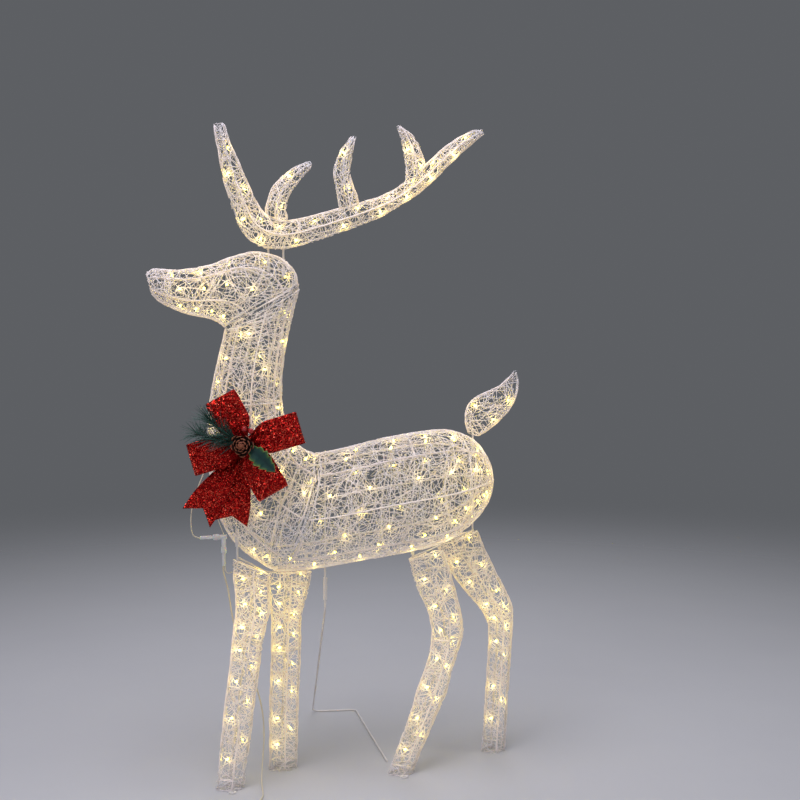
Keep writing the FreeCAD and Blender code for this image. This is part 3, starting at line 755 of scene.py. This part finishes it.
def spin(name, seed):
    """The thread of one skin."""
    chance = random.Random(seed)
    face = faces[name]
    tracks, laid = [], 0.0
    wanted = face.area * THREAD_PER_AREA
    cells = Laid(CELL)
    while laid < wanted:
        starts = [face.start(chance) for _ in range(START_TRIES)]
        place, normal = min(starts, key=lambda start: cells.at(start[0]))
        track = walk(face, place, normal, tangent(normal, chance),
                     chance.randint(*STRAND_STEPS), cells, chance)
        if len(track) > 2:
            tracks.append((track, 1.0))
            laid += (len(track) - 1) * STEP
    frame_name, count = WIRE_THREAD[name]
    wires, starts = wire_starts(NODES[frame_name], face, WIRE_REACH, count, chance)
    for place, normal, along in starts:
        track = follow(face, wires, place, normal, along, chance.randint(*WIRE_STEPS),
                       WIRE_REACH)
        if len(track) > 2:
            tracks.append((track, WIRE_THICK))
            laid += (len(track) - 1) * STEP
    made = thread_mesh(name.replace("_skin", "_thread"), tracks, chance)
    fit(made, thread, name, BODY_OF[name])
    return made, laid


total_thread = 0.0
for seed, name in enumerate(sorted(SKINS)):
    made, laid = spin(name, FIRST_SEED + seed)
    total_thread += laid
    print(made.name, round(laid, 1), "m,", len(made.data.polygons), "quads")
print("thread in all", round(total_thread), "m")

# %% [markdown]
# ## The bow
# Four loops and two tails of wired glitter ribbon, 63 mm wide, are pinched together at
# the middle. Ribbon hardly stretches, so each loop is one strip that runs out, turns
# over and comes back, narrow and pleated where the wire grips it. `bow_point` works in
# the bow's own directions: to its right, up, and out towards the viewer.

# %% The bow's own directions
BOW_AT = Vector((-248, -106, 688))
BOW_TURN = math.radians(20.0)
BOW_RIGHT = Vector((math.cos(BOW_TURN), -math.sin(BOW_TURN), 0))
BOW_UP = Vector((0, 0, 1))
BOW_OUT = Vector((-math.sin(BOW_TURN), -math.cos(BOW_TURN), 0))


def bow_point(right, up, out):
    """Millimetres in the bow's directions to a point of the frame."""
    return at(*(BOW_AT + BOW_RIGHT * right + BOW_UP * up + BOW_OUT * out))


def smooth(x, low=0.0, high=1.0):
    part = min(max((x - low) / (high - low), 0.0), 1.0)
    return part * part * (3 - 2 * part)


def grid_object(name, rows, closed=False):
    """A smooth sheet through rows of points; closed joins each row to a ring."""
    across = len(rows[0])
    quads = []
    for i in range(len(rows) - 1):
        for j in range(across if closed else across - 1):
            k = (j + 1) % across
            quads.append((i * across + j, i * across + k,
                          (i + 1) * across + k, (i + 1) * across + j))
    mesh = bpy.data.meshes.new(name)
    mesh.from_pydata([p for row in rows for p in row], [], quads)
    mesh.shade_smooth()
    made = bpy.data.objects.new(name, mesh)
    scene.collection.objects.link(made)
    return made


def thicken(made, depth):
    layer = made.modifiers.new("thickness", "SOLIDIFY")
    layer.thickness = depth
    layer.offset = 0.0
    return made


print("bow middle at", tuple(round(v, 3) for v in bow_point(0, 0, 0)))

# %% [markdown]
# Glitter is a crust of tiny flat flakes, each turned its own way. Most are dark at any
# moment and a few flash. A Voronoi pattern gives one random colour to each flake, and
# that colour tilts the flake's normal, so the lamps pick out different flakes. The flash
# is also painted: some flakes get a brighter red, and a few a pale glint colour.

# %% Glitter ribbon finish
glitter = Finish("red_glitter", Metallic=0.92)
flakes = glitter.node("TexVoronoi", {"feature": "F1"},
                      {"Vector": glitter.where(), "Scale": 560.0}, output="Color")
small_flakes = glitter.node("TexVoronoi", {"feature": "F1"},
                            {"Vector": glitter.where(), "Scale": 1150.0}, output="Color")
flake_pick = glitter.node("SeparateColor", {}, {0: flakes}, output=0)
flake_tone = glitter.node("SeparateColor", {}, {0: small_flakes}, output=1)
# Painted flash: some flakes are painted a brighter red, and these are also glossier.
bright_flake = glitter.steps(flake_pick, 0.42, 0.92)
# Painted glint: a few flakes are painted a pale red, as if they caught a lamp.
painted_glint = glitter.steps(flake_pick * flake_tone, 0.55, 0.72)
tilt = glitter.node("VectorMath", {"operation": "MULTIPLY_ADD"},
                    {0: flakes, 1: (1.5, 1.5, 1.5), 2: (-0.75, -0.75, -0.75)})
face_normal = glitter.node("NewGeometry", output="Normal")
tilted = glitter.node("VectorMath", {"operation": "NORMALIZE"},
                      {0: glitter.node("VectorMath", {"operation": "ADD"},
                                       {0: face_normal, 1: tilt})})
# Painted shade near the knot, worked out from the distance to it.
from_knot = glitter.node("VectorMath", {"operation": "DISTANCE"},
                         {0: glitter.where(), 1: tuple(bow_point(0, 0, 6))},
                         output="Value")
# Painted shade: the ribbon and its glints are painted darker towards the knot, down to a
# quarter at the knot.
painted_knot_shade = glitter.steps(from_knot, 0.012, 0.066) * 0.75 + 0.25
ribbon_red = glitter.mix(painted_knot_shade * bright_flake, (0.22, 0.001, 0.002), (1.0, 0.026, 0.014))
glitter.wear(
    Base_Color=glitter.mix(painted_glint * painted_knot_shade, ribbon_red, (1.0, 0.24, 0.14)),
    Roughness=0.46 - bright_flake * 0.22,
    Normal=tilted,
)
print("glitter ready")

# %% [markdown]
# A loop is worked out in rows. `loop_outline` gives how far each row is from the knot and
# how far in front, and each row then spreads to both sides, with pleats that fade away
# from the knot. A solidify modifier gives the ribbon its half millimetre.

# %% Loops
RIBBON_HALF = 31.0
RIBBON_DEPTH = 0.0006
LOOP_ROWS, RIBBON_COLUMNS = 56, 16
BOW_LOOPS = [(118, 102, 3, 8.0), (17, 112, 3, 8.5), (197, 110, 3, 8.0), (-60, 109, 3, 9.0)]


def loop_outline(length, turn):
    """For each row: how far out, how much in front, and which side of the loop."""
    places = []
    for k in range(LOOP_ROWS + 1):
        part = k / LOOP_ROWS
        if part < 0.44:
            reach = part / 0.44 * (length - turn)
            places.append((reach, turn * smooth(reach, 2, 42) + 1.6, 1.0))
        elif part <= 0.56:
            angle = (part - 0.44) / 0.12 * math.pi
            places.append((length - turn + turn * math.sin(angle),
                           turn * math.cos(angle), 0.0))
        else:
            reach = (1.0 - part) / 0.44 * (length - turn)
            places.append((reach, -turn * smooth(reach, 2, 42) - 1.6, -1.0))
    return places


def ribbon_loop(name, angle, length, lift, turn, chance):
    """One strip that runs out from the knot, turns over, and comes back."""
    along = Vector((math.cos(math.radians(angle)), math.sin(math.radians(angle))))
    aside = Vector((-along.y, along.x))
    phase = chance.uniform(0, math.tau)
    rows, flat_length, before = [], 0.0, None
    for reach, front, side in loop_outline(length, turn):
        half = RIBBON_HALF * (0.30 + 0.70 * smooth(reach, 0, 0.46 * length))
        gather = (1.0 - smooth(reach, 0, 0.55 * length)) ** 1.3
        row = []
        for j in range(RIBBON_COLUMNS + 1):
            u = j / RIBBON_COLUMNS * 2 - 1
            pleat = 4.2 * gather * math.cos(3.2 * math.pi * u + side)
            wave = 1.1 * math.sin(0.075 * reach + 2.1 * u + phase)
            cup = -2.2 * u * u * smooth(reach, 20, length)
            edge = along * reach + aside * (half * u)
            row.append(bow_point(edge.x, edge.y, lift + front + pleat + wave + cup))
        rows.append(row)
        middle = row[RIBBON_COLUMNS // 2]
        if before is not None:
            flat_length += (middle - before).length
        before = middle
    made = thicken(grid_object(name, rows), RIBBON_DEPTH)
    fit(made, glitter, "bow_loops")
    return flat_length


ribbon_chance = random.Random(7)
for number, (angle, length, lift, turn) in enumerate(BOW_LOOPS):
    flat = ribbon_loop(f"bow_loop_{number}", angle, length, lift, turn, ribbon_chance)
    print("loop", number, "cut from", round(flat * 1000), "mm of ribbon")

# %% [markdown]
# The tails are single strips that fan out from the knot and end in a swallow-tail cut.

# %% Tails
TAIL_ROWS = 40
BOW_TAILS = [(236.0, 174, 23, -9, 5), (258.5, 158, 15, -14, 3)]


def ribbon_tail(name, angle, length, notch, lift, rise, chance):
    along = Vector((math.cos(math.radians(angle)), math.sin(math.radians(angle))))
    aside = Vector((-along.y, along.x))
    phase = chance.uniform(0, math.tau)
    rows, flat_length, before = [], 0.0, None
    for k in range(TAIL_ROWS + 1):
        row = []
        for j in range(RIBBON_COLUMNS + 1):
            u = j / RIBBON_COLUMNS * 2 - 1
            reach = 6 + k / TAIL_ROWS * (length - 6 - notch * (1 - abs(u)))
            half = RIBBON_HALF * (0.28 + 0.76 * smooth(reach, 0, 0.85 * length))
            gather = (1.0 - smooth(reach, 0, 0.6 * length)) ** 1.4
            pleat = 3.0 * gather * math.cos(2.6 * math.pi * u)
            wave = 2.4 * math.sin(0.045 * reach + 1.4 * u + phase) * smooth(reach, 0, 60)
            edge = along * reach + aside * (half * u)
            row.append(bow_point(edge.x, edge.y,
                                 lift + rise * reach / length + pleat + wave))
        rows.append(row)
        middle = row[RIBBON_COLUMNS // 2]
        if before is not None:
            flat_length += (middle - before).length
        before = middle
    made = thicken(grid_object(name, rows), RIBBON_DEPTH)
    fit(made, glitter, "bow_tails")
    flat = (0.063, round(flat_length + notch * MM, 3))
    round(0.063 * (flat_length + notch * MM / 2), 5)
    return flat


for number, tail in enumerate(BOW_TAILS):
    print("tail", number, "cut from", ribbon_tail(f"bow_tail_{number}", *tail,
                                                  ribbon_chance))

# %% [markdown]
# The knot is a ball of gathered ribbon, so it is a sphere whose size swells and sinks in
# seven folds that wander a little as they go round.

# %% Knot
KNOT_RADIUS = 12.5
KNOT_ROWS, KNOT_COLUMNS = 28, 40
knot_rows = []
for i in range(KNOT_ROWS + 1):
    polar = math.pi * (0.02 + 0.96 * i / KNOT_ROWS)
    row = []
    for j in range(KNOT_COLUMNS):
        around = math.tau * j / KNOT_COLUMNS
        fold = 1 + 0.09 * math.cos(7 * polar + 0.6 * math.sin(2 * around))
        size = KNOT_RADIUS * fold
        row.append(bow_point(size * math.sin(polar) * math.cos(around),
                             1.05 * size * math.cos(polar),
                             0.9 * size * math.sin(polar) * math.sin(around)))
    knot_rows.append(row)
knot = grid_object("ribbon_knot", knot_rows, closed=True)
fit(knot, glitter, "bow_knot")
print("knot", len(knot.data.vertices), "vertices")

# %% [markdown]
# ## The pine cone
# An open cone shows its scales as a spiral: each one is turned from the last by the
# golden angle. Scales at the rim lie almost flat, and those in the middle stand up. One
# function makes a scale, and the cone is a loop over it.

# %% Cone scales
CONE_MIDDLE = 33.0
CONE_SCALES = 36
CONE_SPREAD = 1.18
GOLDEN = math.radians(137.508)
SCALE_ROWS, SCALE_COLUMNS = 7, 6


def cone_scale(number):
    """Rows of points of one scale, and how near its tip each row is."""
    part = number / (CONE_SCALES - 1)
    angle = number * GOLDEN
    open_angle = math.radians(84 - 74 * part ** 1.2)
    length = 20.5 - 13.5 * part
    width = 6.4 - 3.6 * part
    foot_reach, foot_front = 3.0 * (1 - part) + 0.4, -11 + 17 * part
    rows = []
    for i in range(SCALE_ROWS):
        v = i / (SCALE_ROWS - 1)
        half = width * (0.42 + 0.58 * math.sin(min(v * 1.25, 1.0) * math.pi / 2))
        half *= math.sqrt(max(1.0 - max(v - 0.62, 0.0) ** 2 * 5.4, 0.08))
        curl = open_angle - 0.55 * v * v
        reach = foot_reach + length * v * math.sin(curl)
        front = foot_front + length * v * math.cos(curl)
        row = []
        for j in range(SCALE_COLUMNS + 1):
            u = j / SCALE_COLUMNS * 2 - 1
            cup = 1.5 * u * u * v
            inward = reach - cup * math.cos(curl)
            right = CONE_SPREAD * (inward * math.cos(angle) - half * u * math.sin(angle))
            up = CONE_SPREAD * (inward * math.sin(angle) + half * u * math.cos(angle))
            row.append(bow_point(right, up, CONE_MIDDLE + front + cup * math.sin(curl)))
        rows.append(row)
    return rows


cone_points, cone_quads, cone_tip = [], [], []
for number in range(CONE_SCALES):
    rows = cone_scale(number)
    base = len(cone_points)
    columns = SCALE_COLUMNS + 1
    for i, row in enumerate(rows):
        cone_points += row
        cone_tip += [i / (SCALE_ROWS - 1)] * columns
    for i in range(SCALE_ROWS - 1):
        for j in range(SCALE_COLUMNS):
            a = base + i * columns + j
            cone_quads.append((a, a + 1, a + columns + 1, a + columns))
cone_mesh = bpy.data.meshes.new("pine_cone_scales")
cone_mesh.from_pydata(cone_points, [], cone_quads)
cone_mesh.shade_smooth()
carry(cone_mesh, "tip", cone_tip)
cone = bpy.data.objects.new("pine_cone_scales", cone_mesh)
scene.collection.objects.link(cone)
thicken(cone, 0.0011)
print("cone scales", CONE_SCALES)

# %% [markdown]
# Deep in the cone each scale is painted nearly black towards its root, a painted shade,
# and only the worn rims of the scales are brown. The `tip` value of each vertex says how
# near the rim it is, and noise breaks the edge.

# %% Cone finish
bark = Finish("cone_bark", IOR=1.45)
tip = bark.attribute("tip")
fibre = bark.noise(480.0, 5.0)
bark.wear(
    # Painted shade: the scales are painted nearly black away from their rims.
    Base_Color=bark.ramp(tip * 0.85 + fibre * 0.2, [
        (0.0, (0.004, 0.002, 0.0015)), (0.68, (0.016, 0.006, 0.004)),
        (0.86, (0.15, 0.035, 0.014)), (1.0, (0.42, 0.14, 0.06))]),
    Roughness=0.55 + fibre * 0.25,
    Normal=bark.bump(fibre, 0.0005, 0.8),
)
fit(cone, bark, "pine_cone")

# %% [markdown]
# ## The holly leaf
# A printed cloth leaf with toothed sides. It is a sheet of rows from stalk to tip. The
# sides come from a smooth outline with five teeth on it, and the mid rib is a fold.

# %% Holly leaf
LEAF_ROWS, LEAF_COLUMNS, LEAF_TEETH = 60, 14, 5
LEAF_STALK, LEAF_TIP = Vector((14.0, -4.0)), Vector((61.0, -50.0))
LEAF_HALF = 19.0
LEAF_DEPTH = 0.0005
leaf_along = (LEAF_TIP - LEAF_STALK).normalized()
leaf_aside = Vector((-leaf_along.y, leaf_along.x))
leaf_length = (LEAF_TIP - LEAF_STALK).length
leaf_rows, leaf_edge = [], []
for i in range(LEAF_ROWS + 1):
    v = i / LEAF_ROWS
    tooth = (v * LEAF_TEETH) % 1.0
    spine = 1.0 - 0.24 * smooth(tooth, 0.12, 0.95)
    half = LEAF_HALF * math.sin(math.pi * (0.03 + 0.955 * v) ** 0.82) ** 0.8 * spine
    row = []
    for j in range(LEAF_COLUMNS + 1):
        u = j / LEAF_COLUMNS * 2 - 1
        flat = LEAF_STALK + leaf_along * (leaf_length * v) + leaf_aside * (half * u)
        lift = 25.0 + 3.5 * abs(u) - 6.0 * v * v + 1.3 * math.sin(9 * v + 3 * u)
        row.append(bow_point(flat.x, flat.y, lift))
        leaf_edge.append(max(abs(u), 1.0 - min(v, 1.0 - v) * 9.0))
    leaf_rows.append(row)
leaf = grid_object("holly_leaf_cloth", leaf_rows)
carry(leaf.data, "edge", leaf_edge)
thicken(leaf, LEAF_DEPTH)
print("leaf", len(leaf.data.polygons), "faces")

# %% [markdown]
# The print is a dark blue green in the middle, and a pale yellow green along the teeth.
# The `edge` value runs from the rib to the sides, and the noise blots it.

# %% Leaf finish
leaf_cloth = Finish("leaf_print", IOR=1.45)
edge = leaf_cloth.attribute("edge")
blot = leaf_cloth.noise(150.0, 4.0)
weave = leaf_cloth.noise(1500.0, 2.0)
leaf_cloth.wear(
    Base_Color=leaf_cloth.ramp(edge * 0.9 + (blot - 0.5) * 0.35, [
        (0.0, (0.006, 0.036, 0.034)), (0.55, (0.010, 0.060, 0.042)),
        (0.78, (0.06, 0.14, 0.03)), (0.93, (0.30, 0.36, 0.10)),
        (1.0, (0.62, 0.60, 0.36))]),
    Roughness=0.5 + weave * 0.2,
    Normal=leaf_cloth.bump(weave, 0.0002, 0.6),
)
fit(leaf, leaf_cloth, "holly_leaf")
print("leaf cut from 38 mm by", round(leaf_length), "mm of cloth")

# %% [markdown]
# ## The sprig and the berries
# Needles are long three-sided spikes that leave two bent stems at a narrow angle. They
# differ in length and lean, so no two are quite alike.

# %% Needle sprig
NEEDLES = 210
STEMS = [[Vector((-8, 2, 17)), Vector((-36, 6, 22)), Vector((-66, 12, 18)),
          Vector((-92, 22, 12))],
         [Vector((-8, 6, 16)), Vector((-32, 20, 20)), Vector((-54, 36, 16)),
          Vector((-70, 50, 12))]]
needle_chance = random.Random(19)


def on_stem(stem, part):
    """A place and a direction along a bent stem."""
    where = part * (len(stem) - 1)
    k = min(int(where), len(stem) - 2)
    return stem[k].lerp(stem[k + 1], where - k), (stem[k + 1] - stem[k]).normalized()


def spike(root, tip_place, radius, sides, points, quads, tone, shade):
    """A tapered spike from root to tip, added to the lists."""
    way = (tip_place - root).normalized()
    first = way.orthogonal().normalized()
    second = way.cross(first)
    base = len(points)
    for part, size in ((0.0, 1.0), (0.5, 0.9), (0.92, 0.5)):
        middle = root.lerp(tip_place, part)
        for s in range(sides):
            angle = math.tau * s / sides
            offset = (first * math.cos(angle) + second * math.sin(angle)) * radius * size
            points.append(bow_point(*(middle + offset)))
            tone.append(shade * part)
    points.append(bow_point(*tip_place))
    tone.append(shade)
    for ring in range(2):
        for s in range(sides):
            t = (s + 1) % sides
            a = base + ring * sides
            quads.append((a + s, a + t, a + sides + t, a + sides + s))
    for s in range(sides):
        quads.append((base + 2 * sides + s, base + 2 * sides + (s + 1) % sides,
                      base + 3 * sides))
    quads.append(tuple(base + s for s in reversed(range(sides))))


needle_points, needle_faces, needle_tone = [], [], []
for stem in STEMS:
    for a, b in zip(stem, stem[1:]):
        spike(a - (b - a) * 0.1, b + (b - a) * 0.2, 1.1, 5, needle_points,
              needle_faces, needle_tone, 0.2)
    for number in range(NEEDLES):
        root, way = on_stem(stem, needle_chance.random() ** 0.9)
        around = needle_chance.uniform(0, math.tau)
        first = way.orthogonal().normalized()
        sideways = first * math.cos(around) + way.cross(first) * math.sin(around)
        lean = math.radians(needle_chance.uniform(20, 56))
        heading = way * math.cos(lean) + sideways * math.sin(lean)
        end = root + heading * needle_chance.uniform(26, 44)
        end.z = max(end.z, -6.0)
        spike(root, end, needle_chance.uniform(0.4, 0.6), 3, needle_points,
              needle_faces, needle_tone, needle_chance.uniform(0.5, 1.0))
needle_mesh = bpy.data.meshes.new("sprig_needles")
needle_mesh.from_pydata(needle_points, [], needle_faces)
carry(needle_mesh, "tone", needle_tone)
sprig = bpy.data.objects.new("sprig_needles", needle_mesh)
scene.collection.objects.link(sprig)
print("sprig needles", NEEDLES * len(STEMS))

# %% [markdown]
# Plastic needles are a dark blue green that pales towards the tips, where light passes.

# %% Needle finish
needle_green = Finish("needle_green", IOR=1.45)
tone = needle_green.attribute("tone")
needle_spot = needle_green.noise(260.0, 2.0)
needle_green.wear(
    Base_Color=needle_green.mix(tone * 0.75 + needle_spot * 0.3, (0.006, 0.022, 0.012),
                                (0.030, 0.115, 0.085)),
    Roughness=0.38 + needle_spot * 0.2,
)
fit(sprig, needle_green, "needle_sprig")
print("sprig dressed")

# %% [markdown]
# The berries are lacquered balls, each with a dimple where its calyx was.

# %% Berries
BERRY_RADIUS = 5.4
BERRY_ROWS, BERRY_COLUMNS = 18, 26
lacquer = Finish("berry_lacquer", Roughness=0.22, Coat_Weight=0.3, Coat_Roughness=0.12)
berry_spot = lacquer.noise(300.0, 3.0)
lacquer.wear(
    Base_Color=lacquer.mix(berry_spot, (0.30, 0.002, 0.003), (0.45, 0.008, 0.006)),
    Normal=lacquer.bump(berry_spot, 0.0003, 0.4),
)
for number, (right, up) in enumerate(((17.0, 27.5), (4.0, 31.0))):
    rows = []
    for i in range(BERRY_ROWS + 1):
        polar = math.pi * (0.02 + 0.97 * i / BERRY_ROWS)
        dimple = 1.0 - 0.16 * math.exp(-(polar / 0.35) ** 2)
        row = []
        for j in range(BERRY_COLUMNS):
            around = math.tau * j / BERRY_COLUMNS
            size = BERRY_RADIUS * dimple * (1 + 0.02 * math.cos(5 * around))
            row.append(bow_point(right + size * math.sin(polar) * math.cos(around),
                                 up + size * math.sin(polar) * math.sin(around),
                                 30 + 0.94 * size * math.cos(polar)))
        rows.append(row)
    berry = grid_object(f"berry_{number}", rows, closed=True)
    fit(berry, lacquer, "berries")
print("berries made")

# %% [markdown]
# ## The collars of the connectors
# The two connectors at the chest are locked by moulded collars with flutes. Each axis is
# given, and the size and middle are read from the frame: the bore and the outside are the
# nearest and the farthest points from the axis. The new collar has the same bore and deep
# flutes.

# %% Fluted collars
FLUTES = 14
FLUTE_DEPTH = 0.165
COLLAR_SIDES = FLUTES * 8
COLLAR_PROFILE = [(0.0, 0.0), (0.0, 0.86), (0.06, 1.0), (0.16, 1.0), (0.22, 0.93),
                  (0.30, 0.93), (0.38, 0.93), (0.46, 0.93), (0.54, 0.93), (0.62, 0.93),
                  (0.70, 0.93), (0.78, 0.93), (0.84, 1.0), (0.94, 1.0), (1.0, 0.86),
                  (1.0, 0.0)]


def fluted_collar(name, axis):
    """A fluted ring round one axis (0 for X, 2 for Z) in place of a plain collar."""
    node = NODES[name]
    points, _ = triangles_of(node)
    low, high = points.min(0), points.max(0)
    middle = (low + high) / 2
    others = [k for k in range(3) if k != axis]
    away = np.linalg.norm(points[:, others] - middle[others], axis=1)
    bore, outside = float(away.min()), float(away.max())
    rows = []
    for part, level in COLLAR_PROFILE + [(0.0, 0.0)]:
        row = []
        for j in range(COLLAR_SIDES):
            angle = math.tau * j / COLLAR_SIDES
            flute = FLUTE_DEPTH * math.cos(FLUTES * angle) if 0.9 < level < 0.99 else 0.0
            radius = bore + (outside - bore) * (level + flute) if level else bore
            place = [0.0, 0.0, 0.0]
            place[axis] = low[axis] + (high[axis] - low[axis]) * part
            place[others[0]] = middle[others[0]] + radius * math.cos(angle)
            place[others[1]] = middle[others[1]] + radius * math.sin(angle)
            row.append(Vector(place))
        rows.append(row)
    made = grid_object(name + "_fluted", rows, closed=True)
    fit(made, milky, name, BODY_OF[name])
    return round(bore * 1000, 2), round(outside * 1000, 2)


for name, axis in (("neck_collar", 0), ("legs_collar", 2)):
    print(name, "bore and outside radius", fluted_collar(name, axis))

# %% [markdown]
# ## Studio
# A pale floor that fades into a plain grey surround, and large soft lamps all round, so
# that the deer can be looked at from every side. They are weak enough for the deer's own
# lamps to show.

# %% Floor, surround and soft lamps
FLOOR_HALF = 14.0
floor_mesh = bpy.data.meshes.new("floor")
floor_mesh.from_pydata([(-FLOOR_HALF, -FLOOR_HALF, 0), (FLOOR_HALF, -FLOOR_HALF, 0),
                        (FLOOR_HALF, FLOOR_HALF, 0), (-FLOOR_HALF, FLOOR_HALF, 0)],
                       [], [(0, 1, 2, 3)])
floor = bpy.data.objects.new("floor", floor_mesh)
floor.location.z = -0.0005
scene.collection.objects.link(floor)
floor_finish = Finish("floor_paint", Roughness=0.85)
from_deer = floor_finish.node("VectorMath", {"operation": "LENGTH"},
                              {0: floor_finish.where()}, output="Value")
fade = floor_finish.steps(from_deer, 0.7, 4.2)
floor_grain = floor_finish.noise(3.0, 4.0)
floor_finish.wear(Base_Color=floor_finish.mix(floor_grain, (0.60, 0.60, 0.60),
                                              (0.56, 0.56, 0.57)),
                  Alpha=1 - fade)
dress(floor, floor_finish)

world = bpy.data.worlds.new("surround")
world.use_nodes = True
world.node_tree.nodes["Background"].inputs[0].default_value = (0.11, 0.115, 0.125, 1.0)
world.node_tree.nodes["Background"].inputs[1].default_value = 1.0
scene.world = world


def soft_lamp(name, place, aim, size, power, tint):
    light = bpy.data.lights.new(name, "AREA")
    light.shape = "DISK"
    light.size = size
    light.energy = power
    light.color = tint
    made = bpy.data.objects.new(name, light)
    scene.collection.objects.link(made)
    made.location = place
    made.rotation_euler = (Vector(aim) - Vector(place)).to_track_quat("-Z", "Y").to_euler()
    return made


MIDDLE = (0.0, -0.13, 0.75)
soft_lamp("top_lamp", (-0.5, -1.0, 3.4), MIDDLE, 2.4, 70.0, (0.88, 0.87, 1.0))
soft_lamp("front_lamp", (-2.6, -2.6, 2.0), MIDDLE, 2.0, 30.0, (0.94, 0.93, 1.0))
soft_lamp("side_lamp", (2.8, -1.6, 1.8), MIDDLE, 2.0, 14.0, (0.95, 0.96, 1.0))
soft_lamp("back_lamp", (1.2, 3.0, 2.4), MIDDLE, 2.2, 26.0, (0.92, 0.92, 1.0))
scene.view_settings.view_transform = "Standard"
print("studio ready")
